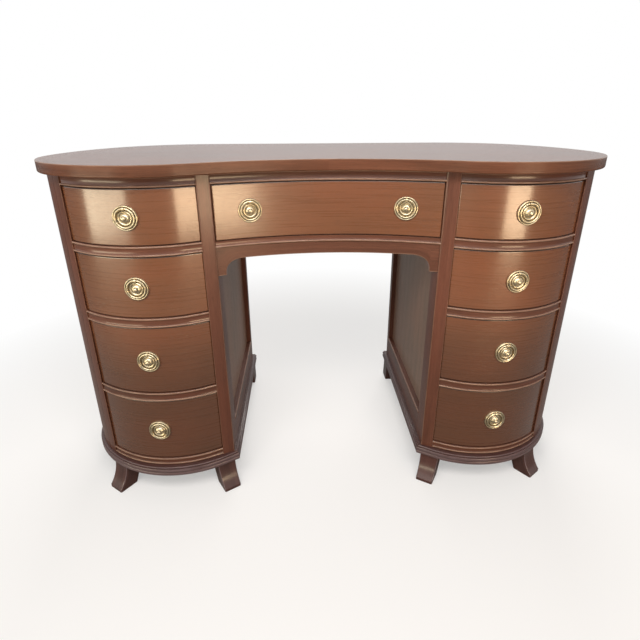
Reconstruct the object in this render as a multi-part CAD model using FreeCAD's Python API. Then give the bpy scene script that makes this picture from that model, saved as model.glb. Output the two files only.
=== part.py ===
import FreeCAD, Part
import math
import os

# Kidney-shaped kneehole desk with nine drawers.
# Millimetres. +Z is up, +Y points to the back, and +X is the sitter's right.
# The origin is on the floor, under the middle of the box that the desk fills.

# Overall size
overall_width = 1200.0
overall_depth = 580.0
overall_height = 762.0

# Plan of the top
bow_from_opening_middle = 17.0
bow_radius = 250.0
widest_from_back = 354.0
straight_back_share = 0.525
top_recess = 91.0
tight_round_share = 0.922

# The case under the top
front_overhang = 28.0
side_overhang = 14.0
back_overhang = 36.0
body_recess = 82.5

# Heights, from the top down
top_thickness = 22.0
top_edge_round = 2.5
top_edge_bands = 2
frieze_rail_height = 21.0
upper_drawer_shares = [0.1987, 0.235, 0.284]
divider_height = 21.0
bottom_rail_height = 17.0
base_thickness = 22.0
foot_height = 66.0

# Pedestal framing
kneehole_half = 228.0
post_width = 25.0
inner_post_depth = 48.0
outer_post_depth = 50.0
outer_post_width = 20.0
outer_post_from_side = 53.0
rear_post_width = 24.0
rear_post_depth = 24.0
side_thickness = 14.0
wall_thickness = 19.0

# Kneehole panelling
panel_set_back = 12.5
panel_thickness = 6.0
groove_depth = 6.0
groove_clearance = 0.1
wall_bottom_rail_height = 62.0
wall_top_rail_height = 155.0
wall_bead_radius = 2.5
wall_bead_stand = 1.5

# Beaded rails between the drawers
rail_depth = 40.0
bead_height = 4.4
bead_crown = 2.4
bead_ease = 1.2
field_set_back = 2.0

# Dust boards and drawer stops
board_thickness = 10.0
stop_width = 20.0
stop_depth = 12.0
stop_height = 4.0
stop_from_side = 40.0
stop_clearance = 0.3

# Base moulding
base_front_inset = 14.0
base_side_inset = 7.0
base_back_inset = 30.0
base_recess = 105.0
base_kneehole_step = 12.0
reed_height = 9.0
reed_groove = 2.0
base_fillet_height = 4.0
base_fillet_set_back = 3.0

# Feet
foot_width = 44.0
foot_toe_width = 40.0
foot_depth = 52.0
foot_toe_depth = 45.0
foot_top_inset = 5.0
foot_splay = 17.0
foot_toe_height = 8.0
rear_foot_splay = 1.0
outer_foot_inset = 29.0

# Centre section
centre_drawer_height = 113.0
centre_rail_height = 13.0
apron_height = 26.0
apron_thickness = 20.0
apron_set_back = 3.0
bracket_drop = 34.0
bracket_flat = 16.0
bracket_step = 6.0
bracket_reach = 37.0
runner_width = 14.0
runner_height = 12.0
centre_back_thickness = 14.0

# Drawers
front_thickness = 20.0
front_set_back = 4.0
front_side_gap = 1.0
front_top_gap = 1.6
front_bottom_gap = 0.8
drawer_side_thickness = 10.0
drawer_side_gap = 3.0
drawer_side_drop = 14.0
drawer_lift = 0.3
drawer_bottom_thickness = 5.0
drawer_bottom_rise = 8.0
drawer_groove_depth = 4.0
drawer_back_thickness = 10.0
drawer_back_gap = 10.0
centre_drawer_back_gap = 50.0

# Ring pulls
pull_radius = 24.0
pull_back_gap = 0.3
pull_sides = 16
pull_bed_flats = 6
small_turning_sides = 8
pull_rim_width = 2.5
pull_rim_height = 3.4
pull_floor_height = 1.2
pull_rosette_radius = 13.4
pull_rosette_height = 4.2
pull_dome_radius = 9.3
pull_dome_height = 7.0
pull_button_radius = 4.3
pull_button_height = 12.0
ring_radius = 18.1
ring_wire_radius = 2.0
ring_lift = 0.5
ring_wire_sides = 6
eye_radius = 3.7
eye_length = 5.0
eye_clearance = 0.3
stud_radius = 2.4
stud_clearance = 0.2
nut_radius = 5.0
nut_height = 4.0
nut_sides = 6
nut_clearance = 0.05
nut_seat_gap = 0.1
stud_overlength = 2.0
centre_pull_from_middle = 158.0
centre_pull_rise = 1.0

# One overrun serves every cut
overrun = 3.0

# Levels and planes that follow from the sizes above
half_width = overall_width / 2
half_depth = overall_depth / 2
widest_y = half_depth - widest_from_back
carcass_top = overall_height - top_thickness
frieze_bottom = carcass_top - frieze_rail_height
base_top = foot_height + base_thickness
bottom_rail_top = base_top + bottom_rail_height
opening_near = kneehole_half + post_width
outer_post_far = half_width - side_overhang - outer_post_from_side
opening_far = outer_post_far - outer_post_width
opening_middle = (opening_near + opening_far) / 2
bow_from_middle = opening_middle - bow_from_opening_middle
straight_back_half = half_width * straight_back_share
case_back = half_depth - back_overhang
centre_drawer_bottom = frieze_bottom - centre_drawer_height
centre_rail_bottom = centre_drawer_bottom - centre_rail_height
apron_bottom = centre_rail_bottom - apron_height
wall_inner = kneehole_half + wall_thickness
rear_post_front = case_back - rear_post_depth
pull_wire_height = pull_floor_height + ring_lift + ring_wire_radius
ring_pin_rise = ring_radius * math.cos(math.pi / pull_sides)


def vec(x, y, z=0.0):
    return FreeCAD.Vector(x, y, z)


def box(x0, x1, y0, y1, z0, z1):
    return Part.makeBox(x1 - x0, y1 - y0, z1 - z0, vec(x0, y0, z0))


def straight(start, end):
    return Part.LineSegment(start, end).toShape()


class Round:
    """A circular stretch of an outline, from one point to another."""

    def __init__(self, centre, radius, start, end):
        self.centre = centre
        self.radius = radius
        self.start = start
        self.end = end

    def edge(self):
        middle = (self.start + self.end) * 0.5 - self.centre
        middle.normalize()
        return Part.Arc(self.start, self.centre + middle * self.radius, self.end).toShape()

    def holds(self, x):
        return min(self.start.x, self.end.x) <= x <= max(self.start.x, self.end.x)

    def rise(self, x):
        """Half the height of the whole circle at a place across it."""
        return math.sqrt(self.radius ** 2 - (x - self.centre.x) ** 2)

    def shrunk(self, depth):
        """The stretch drawn towards its centre."""
        share = (self.radius - depth) / self.radius
        start = self.centre + (self.start - self.centre) * share
        end = self.centre + (self.end - self.centre) * share
        return Round(self.centre, self.radius - depth, start, end)

    def moved(self, side, z):
        """The same stretch on one side of the middle and at one height."""
        points = [vec(side * point.x, point.y, z) for point in (self.centre, self.start, self.end)]
        return Round(points[0], self.radius, points[1], points[2])


def quarter_turn(start, corner, end):
    """Turns a corner with a wide round on its longer leg and a tight one on its shorter leg, tangent to both legs."""
    first = corner - start
    last = corner - end
    if first.Length < last.Length:
        rounds = quarter_turn(end, corner, start)
        return [Round(item.centre, item.radius, item.end, item.start) for item in reversed(rounds)]
    long_leg = first.Length
    short_leg = last.Length
    inward = (end - corner) * (1 / short_leg)
    backward = (start - corner) * (1 / long_leg)
    if math.isclose(long_leg, short_leg):
        return [Round(start + inward * long_leg, long_leg, start, end)]
    tight = short_leg * tight_round_share
    wide = long_leg + (long_leg - short_leg) ** 2 / (2 * (short_leg - tight))
    wide_centre = start + inward * wide
    tight_centre = end + backward * tight
    towards = tight_centre - wide_centre
    towards.normalize()
    join = wide_centre + towards * wide
    return [Round(wide_centre, wide, start, join), Round(tight_centre, tight, join, end)]


def polygon_face(points):
    return Part.Face(Part.makePolygon(points + [points[0]]))


def kidney(front_inset, side_inset, back_inset, recess):
    """The kidney plan, set in from the edges of the top: a hollow front between two bows, and a straight back."""
    bow_y = front_inset - half_depth
    side_x = half_width - side_inset
    back_y = half_depth - back_inset
    bow_r = bow_radius - front_inset
    middle_y = bow_y + recess
    hollow_r = (bow_from_middle ** 2 + (bow_r - recess) ** 2 - bow_r ** 2) / (2 * recess)
    hollow_centre = vec(0, middle_y - hollow_r)
    bow_centre = vec(bow_from_middle, bow_y + bow_r)
    join = hollow_centre + (bow_centre - hollow_centre) * (hollow_r / (hollow_r + bow_r))
    bow = vec(bow_from_middle, bow_y)
    widest = vec(side_x, widest_y)
    hollow = Round(hollow_centre, hollow_r, vec(0, middle_y), join)
    front_rounds = [Round(bow_centre, bow_r, join, bow)]
    front_rounds += quarter_turn(bow, vec(side_x, bow_y), widest)
    back_rounds = quarter_turn(widest, vec(side_x, back_y), vec(straight_back_half, back_y))
    return Plan(hollow, front_rounds, back_rounds)


class Plan:
    """The right half of a plan: the hollow, the rounds of its front and of its back, and the straight back."""

    def __init__(self, hollow, front_rounds, back_rounds):
        self.hollow = hollow
        self.front_rounds = front_rounds
        self.back_rounds = back_rounds
        self.back_y = back_rounds[-1].end.y

    def inside(self, depth):
        """The plan drawn in by one depth all round."""
        front_rounds = [item.shrunk(depth) for item in self.front_rounds]
        back_rounds = [item.shrunk(depth) for item in self.back_rounds]
        return Plan(self.hollow.shrunk(-depth), front_rounds, back_rounds)

    def front(self, x):
        """The front edge's place at a distance from the middle."""
        if x <= self.hollow.end.x:
            return self.hollow.centre.y + self.hollow.rise(x)
        for item in self.front_rounds:
            if item.holds(x):
                return item.centre.y - item.rise(x)

    def back(self, x):
        """The back edge's place at a distance from the middle."""
        if x <= straight_back_half:
            return self.back_y
        for item in self.back_rounds:
            if item.holds(x):
                return item.centre.y + item.rise(x)

    def turn(self, x):
        """How far the front edge's outward normal turns from straight ahead, in degrees."""
        rise = self.front(x + overrun) - self.front(x - overrun)
        return math.degrees(math.atan2(rise, 2 * overrun))

    def back_turn(self, x):
        """How far the back edge's outward normal turns from straight ahead, in degrees."""
        rise = self.back(x + overrun) - self.back(x - overrun)
        return 180 + math.degrees(math.atan2(rise, 2 * overrun))

    def outline(self, z):
        """The whole plan at one height."""
        hollow = self.hollow.moved(1, z)
        left_end = self.hollow.moved(-1, z).end
        edges = [Round(hollow.centre, hollow.radius, left_end, hollow.end).edge()]
        for side in (1, -1):
            edges += [item.moved(side, z).edge() for item in self.front_rounds + self.back_rounds]
        edges.append(straight(vec(straight_back_half, self.back_y, z), vec(-straight_back_half, self.back_y, z)))
        return Part.Wire(Part.__sortEdges__(edges))

    def slab(self, z0, z1):
        return Part.Face(self.outline(z0)).extrude(vec(0, 0, z1 - z0))

    def front_path(self):
        """The right half's front edge, from the middle to the widest place."""
        return Part.Wire([self.hollow.edge()] + [item.edge() for item in self.front_rounds])

    def half_outline(self, near, z):
        """The part of the plan beyond a straight kneehole side, at one height."""
        front_corner = vec(near, self.front(near), z)
        back_corner = vec(near, self.back_y, z)
        rounds = [item.moved(1, z) for item in [self.hollow] + self.front_rounds if item.end.x > near]
        rounds[0].start = front_corner
        edges = [item.edge() for item in rounds]
        edges += [item.moved(1, z).edge() for item in self.back_rounds]
        edges.append(straight(vec(straight_back_half, self.back_y, z), back_corner))
        edges.append(straight(back_corner, front_corner))
        return Part.Wire(edges)


def body(inset=0.0):
    return kidney(front_overhang, side_overhang, back_overhang, body_recess).inside(inset)


def base_plan(inset=0.0):
    return kidney(base_front_inset, base_side_inset, base_back_inset, base_recess).inside(inset)


def swept(path, profile):
    """Sweeps a section, given as (outwards, up) from the path's start, along a level path that starts at the middle."""
    start = path.Edges[0].Vertexes[0].Point
    points = [start + vec(0, -out, up) for out, up in profile]
    section = Part.makePolygon(points + [points[0]])
    pipe = Part.BRepOffsetAPI.MakePipeShell(path)
    pipe.setBiNormalMode(vec(0, 0, 1))
    pipe.add(section)
    pipe.build()
    pipe.makeSolid()
    return pipe.shape()


def mirrored(shape):
    return shape.mirror(vec(0, 0), vec(1, 0))


def save(node, solids):
    shape = solids[0] if len(solids) == 1 else Part.makeCompound(solids)
    shape.exportStep(os.path.join("parts", node + ".step"))


def save_pair(node, solids):
    """Writes a pedestal's node for the right side, and its mirror image for the left."""
    save("right_" + node, solids)
    save("left_" + node, [mirrored(solid) for solid in solids])


# The top

def desk_top():
    """A board whose lower edge is rounded off, in narrow bands."""
    plan = kidney(0.0, 0.0, 0.0, top_recess)
    outlines = []
    for band in range(top_edge_bands + 1):
        turn = math.pi / 2 * band / top_edge_bands
        inset = top_edge_round * (1 - math.sin(turn))
        outlines.append(plan.inside(inset).outline(carcass_top + top_edge_round * (1 - math.cos(turn))))
    edge_bands = [Part.makeLoft(list(pair), True, True) for pair in zip(outlines, outlines[1:])]
    slab = plan.slab(carcass_top + top_edge_round, overall_height)
    return slab.multiFuse(edge_bands).removeSplitter()


# Posts and rails

def inner_post_back():
    return body().front(kneehole_half) + inner_post_depth


def inner_post():
    blank = box(kneehole_half, opening_near, -half_depth, inner_post_back(), base_top, carcass_top)
    return blank.common(body().slab(base_top, carcass_top))


def outer_post():
    back = body().front(opening_far) + outer_post_depth
    blank = box(opening_far, outer_post_far, -half_depth, back, base_top, carcass_top)
    return blank.common(body().slab(base_top, carcass_top))


def rear_post():
    return box(kneehole_half, kneehole_half + rear_post_width, rear_post_front, case_back, base_top, carcass_top)


def bead_profile(z0, direction):
    """One worn bead, from the rail's edge towards its field."""
    return [
        (-bead_ease, z0),
        (0.0, z0 + direction * bead_crown),
        (-field_set_back, z0 + direction * bead_height),
    ]


def rail_profile(z0, z1):
    """A rail with a bead on its lower and its upper edge and a sunk field between them."""
    upper = bead_profile(z1, -1)
    upper.reverse()
    return bead_profile(z0, 1) + upper + [(-rail_depth, z1), (-rail_depth, z0)]


def pedestal_rail(z0, z1):
    bar = swept(body().front_path(), rail_profile(z0, z1))
    return bar.common(box(opening_near, opening_far, -half_depth, widest_y, z0 - overrun, z1 + overrun))


def centre_rail(profile, z0, z1):
    bar = swept(body().front_path(), profile)
    half = bar.common(box(0.0, kneehole_half, -half_depth, widest_y, z0 - overrun, z1 + overrun))
    return half.fuse(mirrored(half)).removeSplitter()


def drawer_levels():
    """The bottom and top of each pedestal drawer's opening, from the top drawer down."""
    levels = []
    top = frieze_bottom
    shared_height = frieze_bottom - bottom_rail_top - len(upper_drawer_shares) * divider_height
    for share in upper_drawer_shares:
        height = shared_height * share
        levels.append((top - height, top))
        top = top - height - divider_height
    levels.append((bottom_rail_top, top))
    return levels


def drawer_rails():
    levels = drawer_levels()
    rails = [pedestal_rail(frieze_bottom, carcass_top)]
    for bottom, top in levels[:-1]:
        rails.append(pedestal_rail(bottom - divider_height, bottom))
    rails.append(pedestal_rail(base_top, bottom_rail_top))
    return rails


# Kneehole wall: two rails between the front and the rear post, with a thin panel in their grooves

def wall_panel(clearance):
    x0 = kneehole_half + panel_set_back - clearance
    x1 = x0 + panel_thickness + 2 * clearance
    reach = groove_depth + clearance
    y0 = inner_post_back() - reach
    y1 = rear_post_front + reach
    z0 = base_top + wall_bottom_rail_height - reach
    z1 = carcass_top - wall_top_rail_height + reach
    return box(x0, x1, y0, y1, z0, z1)


def wall_rails():
    y0 = inner_post_back()
    lower_top = base_top + wall_bottom_rail_height
    lower = box(kneehole_half, wall_inner, y0, rear_post_front, base_top, lower_top)
    bead_axis = vec(kneehole_half + wall_bead_radius - wall_bead_stand, y0, lower_top - wall_bead_radius)
    bead = Part.makeCylinder(wall_bead_radius, rear_post_front - y0, bead_axis, vec(0, 1, 0))
    upper = box(kneehole_half, wall_inner, y0, rear_post_front, carcass_top - wall_top_rail_height, carcass_top)
    return [lower.fuse(bead), upper]


# Curved side

def curved_side():
    ring = body().slab(base_top, carcass_top).cut(body(side_thickness).slab(base_top - overrun, carcass_top + overrun))
    rear = kneehole_half + rear_post_width
    ring = ring.common(box(rear, half_width, -half_depth, half_depth, base_top, carcass_top))
    return ring.cut(box(rear - overrun, outer_post_far, -half_depth, widest_y, base_top - overrun, carcass_top + overrun))


# Dust boards, each with two stops that the closed drawer front meets

def drawer_back_end():
    return body(side_thickness).back(opening_far) - drawer_back_gap


def stop(x, z, face_inset):
    plan = body(face_inset)
    y = max(plan.front(x), plan.front(x + stop_width)) + stop_clearance
    return box(x, x + stop_width, y, y + stop_depth, z, z + stop_height)


def dust_board(z, thickness):
    far_y = body(side_thickness).back(opening_far)
    front_part = box(wall_inner, opening_far, -half_depth, widest_y, z - thickness, z)
    front_part = front_part.common(body(rail_depth).slab(z - thickness, z)).cut(inner_post())
    rear_part = box(wall_inner, opening_far, widest_y, far_y, z - thickness, z)
    board = front_part.fuse(rear_part).removeSplitter()
    face = front_set_back + front_thickness
    near = stop(opening_near + stop_from_side, z, face)
    far = stop(opening_far - stop_from_side - stop_width, z, face)
    return board, [near, far]


# Base moulding and feet

def base_moulding():
    """A board whose open edges carry a small fillet over two reeds."""
    layers = [(base_fillet_set_back, base_fillet_set_back, base_top - base_fillet_height, base_top)]
    for reed in range(2):
        top = base_top - base_fillet_height - reed * reed_height
        crown = top - reed_height / 2
        layers.append((0.0, reed_groove, crown, top))
        layers.append((reed_groove, 0.0, top - reed_height, crown))
    solids = [base_layer(*layer) for layer in layers]
    return solids[0].multiFuse(solids[1:]).removeSplitter()


def base_layer(lower_inset, upper_inset, z0, z1):
    wires = []
    for inset, z in ((lower_inset, z0), (upper_inset, z1)):
        wires.append(base_plan(inset).half_outline(kneehole_half - base_kneehole_step + inset, z))
    return Part.makeLoft(wires, True, True)


def foot_blank(splay):
    """A splayed foot that faces -Y: its front sweeps out to the toe, and its inner side tapers."""
    toe = -splay
    sweep = foot_top_inset - toe
    fall = foot_height - foot_toe_height
    sweep_radius = (sweep ** 2 + fall ** 2) / (2 * sweep)
    knee = vec(0, foot_top_inset, foot_height)
    toe_top = vec(0, toe, foot_toe_height)
    side_view = Part.Face(Part.Wire([
        Round(vec(0, foot_top_inset - sweep_radius, foot_height), sweep_radius, knee, toe_top).edge(),
        straight(toe_top, vec(0, toe, 0)),
        straight(vec(0, toe, 0), vec(0, toe + foot_toe_depth, 0)),
        straight(vec(0, toe + foot_toe_depth, 0), vec(0, foot_depth, foot_height)),
        straight(vec(0, foot_depth, foot_height), knee),
    ]))
    reach = foot_width / 2 + overrun
    long_block = side_view.extrude(vec(2 * reach, 0, 0))
    long_block.translate(vec(-reach, 0, 0))
    near = -foot_width / 2
    front_view = polygon_face([
        vec(near, toe - overrun, foot_height),
        vec(near, toe - overrun, 0),
        vec(near + foot_toe_width, toe - overrun, 0),
        vec(near + foot_width, toe - overrun, foot_height),
    ])
    return long_block.common(front_view.extrude(vec(0, foot_depth - toe + 2 * overrun, 0)))


def placed(shape, x, y, turn):
    copy = shape.copy()
    copy.rotate(vec(0, 0), vec(0, 0, 1), turn)
    copy.translate(vec(x, y))
    return copy


def feet():
    plan = base_plan()
    near_x = kneehole_half - base_kneehole_step + foot_width / 2 + foot_top_inset
    far_x = outer_post_far - outer_foot_inset
    front_blank = foot_blank(foot_splay)
    rear_blank = foot_blank(rear_foot_splay)
    return [
        placed(front_blank, near_x, plan.front(near_x), plan.turn(near_x)),
        placed(mirrored(front_blank), far_x, plan.front(far_x), plan.turn(far_x)),
        placed(rear_blank, far_x, plan.back(far_x), plan.back_turn(far_x)),
        placed(mirrored(rear_blank), near_x, plan.back_y, 180),
    ]


# Centre section

def apron():
    plan_slab = body(apron_set_back).slab(apron_bottom - bracket_drop, centre_rail_bottom)
    inner_slab = body(apron_set_back + apron_thickness).slab(apron_bottom - bracket_drop - overrun, carcass_top)
    band = plan_slab.cut(inner_slab)
    y = -half_depth
    step_x = kneehole_half - bracket_flat
    arch_x = step_x - bracket_reach
    low = apron_bottom - bracket_drop
    step_z = low + bracket_step
    edges = []
    for side in (1, -1):
        edges += [
            straight(vec(side * kneehole_half, y, centre_rail_bottom), vec(side * kneehole_half, y, low)),
            straight(vec(side * kneehole_half, y, low), vec(side * step_x, y, low)),
            straight(vec(side * step_x, y, low), vec(side * step_x, y, step_z)),
        ]
        step = vec(side * step_x, y, step_z)
        arch = vec(side * arch_x, y, apron_bottom)
        edges += [item.edge() for item in quarter_turn(step, vec(side * step_x, y, apron_bottom), arch)]
    edges.append(straight(vec(arch_x, y, apron_bottom), vec(-arch_x, y, apron_bottom)))
    edges.append(straight(vec(kneehole_half, y, centre_rail_bottom), vec(-kneehole_half, y, centre_rail_bottom)))
    front_view = Part.Face(Part.Wire(Part.__sortEdges__(edges))).extrude(vec(0, half_depth, 0))
    return band.common(front_view)


def centre_rails():
    frieze = centre_rail(rail_profile(frieze_bottom, carcass_top), frieze_bottom, carcass_top)
    z0 = centre_rail_bottom
    z1 = centre_drawer_bottom
    profile = bead_profile(z0, 1) + [(-field_set_back, z1), (-rail_depth, z1), (-rail_depth, z0)]
    lower = centre_rail(profile, z0, z1)
    face = front_set_back + front_thickness
    x = kneehole_half - stop_from_side - stop_width
    stops = [stop(x, z1, face), mirrored(stop(x, z1, face))]
    return [frieze, lower.fuse(stops[0]).fuse(stops[1])]


def centre_runners():
    y0 = inner_post_back()
    y1 = case_back - centre_back_thickness
    z1 = centre_drawer_bottom
    runner = box(kneehole_half - runner_width, kneehole_half, y0, y1, z1 - runner_height, z1)
    runner = runner.cut(body().slab(z1 - runner_height, z1).cut(body(rail_depth).slab(centre_rail_bottom, carcass_top)))
    return [runner, mirrored(runner)]


def centre_back():
    y0 = case_back - centre_back_thickness
    return box(-kneehole_half, kneehole_half, y0, case_back, carcass_top - wall_top_rail_height, carcass_top)


# Drawers

def drawer_front(x0, x1, z0, z1):
    outer = body(front_set_back)
    inner = body(front_set_back + front_thickness)
    band = outer.slab(z0, z1).cut(inner.slab(z0 - overrun, z1 + overrun))
    return band.common(box(x0, x1, -half_depth, widest_y, z0, z1))


def drawer_bottom(x0, x1, y1, z0, clearance):
    """The thin bottom that lies in the grooves of the sides and reaches the inner face of the front."""
    reach = drawer_groove_depth + clearance
    low = z0 + drawer_bottom_rise - clearance
    high = low + drawer_bottom_thickness + 2 * clearance
    blank = box(
        x0 + drawer_side_thickness - reach,
        x1 - drawer_side_thickness + reach,
        -half_depth, y1, low, high,
    )
    return blank.common(body(front_set_back + front_thickness).slab(low, high))


def drawer_box(x0, x1, y1, z0, z1):
    """The two sides, the back and the bottom of a drawer."""
    inside = body(front_set_back + front_thickness).slab(z0, z1)
    groove = drawer_bottom(x0, x1, y1 + overrun, z0, groove_clearance)
    sides = []
    for near in (x0, x1 - drawer_side_thickness):
        side = box(near, near + drawer_side_thickness, -half_depth, y1, z0, z1)
        sides.append(side.common(inside).cut(groove))
    bottom_top = z0 + drawer_bottom_rise + drawer_bottom_thickness
    back = box(
        x0 + drawer_side_thickness,
        x1 - drawer_side_thickness,
        y1 - drawer_back_thickness, y1, bottom_top, z1 - drawer_groove_depth,
    )
    return sides + [back, drawer_bottom(x0, x1, y1, z0, 0.0)]


def drawer(name, x0, x1, z0, z1, back_end, pulls):
    """A drawer for an opening; pulls holds each pull's distance from the middle and its height."""
    front = drawer_front(x0 + front_side_gap, x1 - front_side_gap, z0 + front_bottom_gap, z1 - front_top_gap)
    box_x0 = x0 + drawer_side_gap
    box_x1 = x1 - drawer_side_gap
    box_z0 = z0 + drawer_lift
    plates = []
    rings = []
    for x, z in pulls:
        hole, plate, ring = pull_at(x, z)
        front = front.cut(hole)
        plates += plate
        rings.append(ring)
    parts = {
        "front": [front],
        "box": drawer_box(box_x0, box_x1, back_end, box_z0, z1 - drawer_side_drop),
        "pull_plate": plates,
    }
    return parts, rings


# Ring pulls

def turned(profile, sides=small_turning_sides):
    """A turned form with flat facets: the profile holds (radius, forward) from the back's middle to the front's."""
    rows = []
    for radius, forward in profile:
        row = []
        for k in range(sides):
            angle = 2 * math.pi * (k + 0.5) / sides
            row.append(vec(radius * math.sin(angle), -forward, radius * math.cos(angle)))
        rows.append(row)
    faces = [polygon_face(rows[0]), polygon_face(rows[-1])]
    for low, high in zip(rows, rows[1:]):
        for k in range(sides):
            after = (k + 1) % sides
            faces.append(polygon_face([low[k], low[after], high[after], high[k]]))
    return Part.Solid(Part.makeShell(faces))


def ring_blank():
    """The loose ring, hanging in the plane of its plate: its top side runs through the origin, along X."""
    rows = []
    for k in range(pull_sides):
        turn = 2 * math.pi * (k + 0.5) / pull_sides
        row = []
        for j in range(ring_wire_sides):
            around = 2 * math.pi * j / ring_wire_sides
            radius = ring_radius + ring_wire_radius * math.cos(around)
            forward = ring_wire_radius * math.sin(around)
            row.append(vec(radius * math.sin(turn), -forward, radius * math.cos(turn) - ring_pin_rise))
        rows.append(row)
    faces = []
    for k in range(pull_sides):
        low = rows[k]
        high = rows[(k + 1) % pull_sides]
        for j in range(ring_wire_sides):
            after = (j + 1) % ring_wire_sides
            faces.append(polygon_face([low[j], low[after], high[after], high[j]]))
    return Part.Solid(Part.makeShell(faces))


def plate_profile(back):
    inner_rim = pull_radius - pull_rim_width
    return [
        (pull_radius, -back),
        (pull_radius, pull_rim_height - pull_floor_height),
        (pull_radius - pull_rim_width / 2, pull_rim_height),
        (inner_rim, pull_floor_height),
        (pull_rosette_radius, pull_floor_height),
        (pull_rosette_radius - pull_floor_height, pull_rosette_height),
        (pull_dome_radius, pull_rosette_height - pull_floor_height),
        (pull_button_radius, pull_dome_height),
        (pull_button_radius, pull_button_height - pull_floor_height),
        (pull_button_radius / 2, pull_button_height),
    ]


def eye_form(radius, length):
    """A small turned form along X, centred on the ring's pin axis."""
    form = turned([(radius, -length / 2), (radius, length / 2)])
    form.rotate(vec(0, 0), vec(0, 0, 1), 90)
    form.translate(vec(0, -pull_wire_height, ring_pin_rise))
    return form


def pull_bed(x, z):
    """The drawer front's face behind a pull, in narrow flats, for shaping the back of the plate."""
    side = -1 if x < 0 else 1
    plan = body(front_set_back - pull_back_gap)
    reach = pull_radius + overrun
    places = [abs(x) - reach + 2 * reach * k / pull_bed_flats for k in range(pull_bed_flats + 1)]
    points = [vec(side * place, plan.front(place), z - reach) for place in places]
    rear = max(point.y for point in points) + front_thickness
    points += [vec(points[-1].x, rear, z - reach), vec(points[0].x, rear, z - reach)]
    return polygon_face(points).extrude(vec(0, 0, 2 * reach))


def pull_at(x, z):
    """The bolt hole, the plate with its bolt and nut, and the ring, set square on the drawer front at a place."""
    side = -1 if x < 0 else 1
    face = body(front_set_back)
    through = front_thickness + pull_back_gap
    flat_share = math.cos(math.pi / small_turning_sides)
    hole_radius = (stud_radius + stud_clearance) / flat_share
    hole = turned([(hole_radius, -through - overrun), (hole_radius, overrun)])
    plate = turned(plate_profile(pull_radius ** 2 / bow_radius), pull_sides).fuse(eye_form(eye_radius, eye_length))
    eye_hole = eye_form((ring_wire_radius + eye_clearance) / flat_share, eye_length + 2 * overrun)
    nut_seat = -through - nut_seat_gap
    bolt_end = nut_seat - nut_height - stud_overlength
    bolt = turned([(stud_radius, bolt_end), (stud_radius, pull_floor_height)])
    nut_bore = turned([(stud_radius + nut_clearance, bolt_end), (stud_radius + nut_clearance, 0)])
    nut = turned([(nut_radius, nut_seat - nut_height), (nut_radius, nut_seat)], nut_sides).cut(nut_bore)
    ring = ring_blank()
    ring.translate(vec(0, -pull_wire_height, ring_pin_rise))
    shapes = [hole, plate, eye_hole, bolt, nut, ring]
    for shape in shapes:
        shape.rotate(vec(0, 0), vec(0, 0, 1), side * face.turn(abs(x)))
        shape.translate(vec(x, face.front(abs(x)) - pull_back_gap, z))
    plate = plate.cut(pull_bed(x, z)).cut(eye_hole).fuse(bolt)
    return hole, [plate, nut], ring


def save_drawer(name, parts, rings, ring_names):
    for part_name, solids in parts.items():
        save(name + "_" + part_name, solids)
    for ring_name, ring in zip(ring_names, rings):
        save(ring_name, [ring])


def main():
    os.makedirs("parts", exist_ok=True)
    save("desk_top", [desk_top()])
    panel_groove = wall_panel(groove_clearance)
    save_pair("front_posts", [inner_post().cut(panel_groove), outer_post()])
    wall = [rear_post().cut(panel_groove)] + [rail.cut(panel_groove) for rail in wall_rails()]
    save_pair("kneehole_frame", wall)
    save_pair("kneehole_panel", [wall_panel(0.0)])
    save_pair("curved_side", [curved_side()])
    save_pair("drawer_rails", drawer_rails())
    boards = []
    for bottom, top in drawer_levels():
        thickness = bottom_rail_height if bottom == bottom_rail_top else board_thickness
        board, stops = dust_board(bottom, thickness)
        boards += [board] + stops
    save_pair("dust_boards", boards)
    save_pair("base_moulding", [base_moulding()])
    save_pair("feet", feet())
    save("centre_rails", centre_rails())
    save("apron", [apron()])
    save("centre_runners", centre_runners())
    save("centre_back", [centre_back()])
    for number, (bottom, top) in enumerate(drawer_levels(), start=1):
        pull_z = (bottom + top) / 2
        name = "drawer_%d" % number
        for side, prefix in ((1, "right_"), (-1, "left_")):
            parts, rings = drawer(
                name, opening_near, opening_far, bottom, top, drawer_back_end(), [(opening_middle, pull_z)]
            )
            if side < 0:
                parts = {key: [mirrored(solid) for solid in solids] for key, solids in parts.items()}
                rings = [mirrored(ring) for ring in rings]
            save_drawer(prefix + name, parts, rings, [prefix + name + "_pull_ring"])
    pull_z = (centre_drawer_bottom + frieze_bottom) / 2 + centre_pull_rise
    pulls = [(-centre_pull_from_middle, pull_z), (centre_pull_from_middle, pull_z)]
    back_end = case_back - centre_back_thickness - centre_drawer_back_gap
    parts, rings = drawer(
        "centre_drawer", -kneehole_half, kneehole_half, centre_drawer_bottom, frieze_bottom, back_end, pulls
    )
    ring_names = ["centre_drawer_left_pull_ring", "centre_drawer_right_pull_ring"]
    save_drawer("centre_drawer", parts, rings, ring_names)


main()
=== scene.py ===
import math

import bpy
from mathutils import Matrix, Vector


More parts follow.
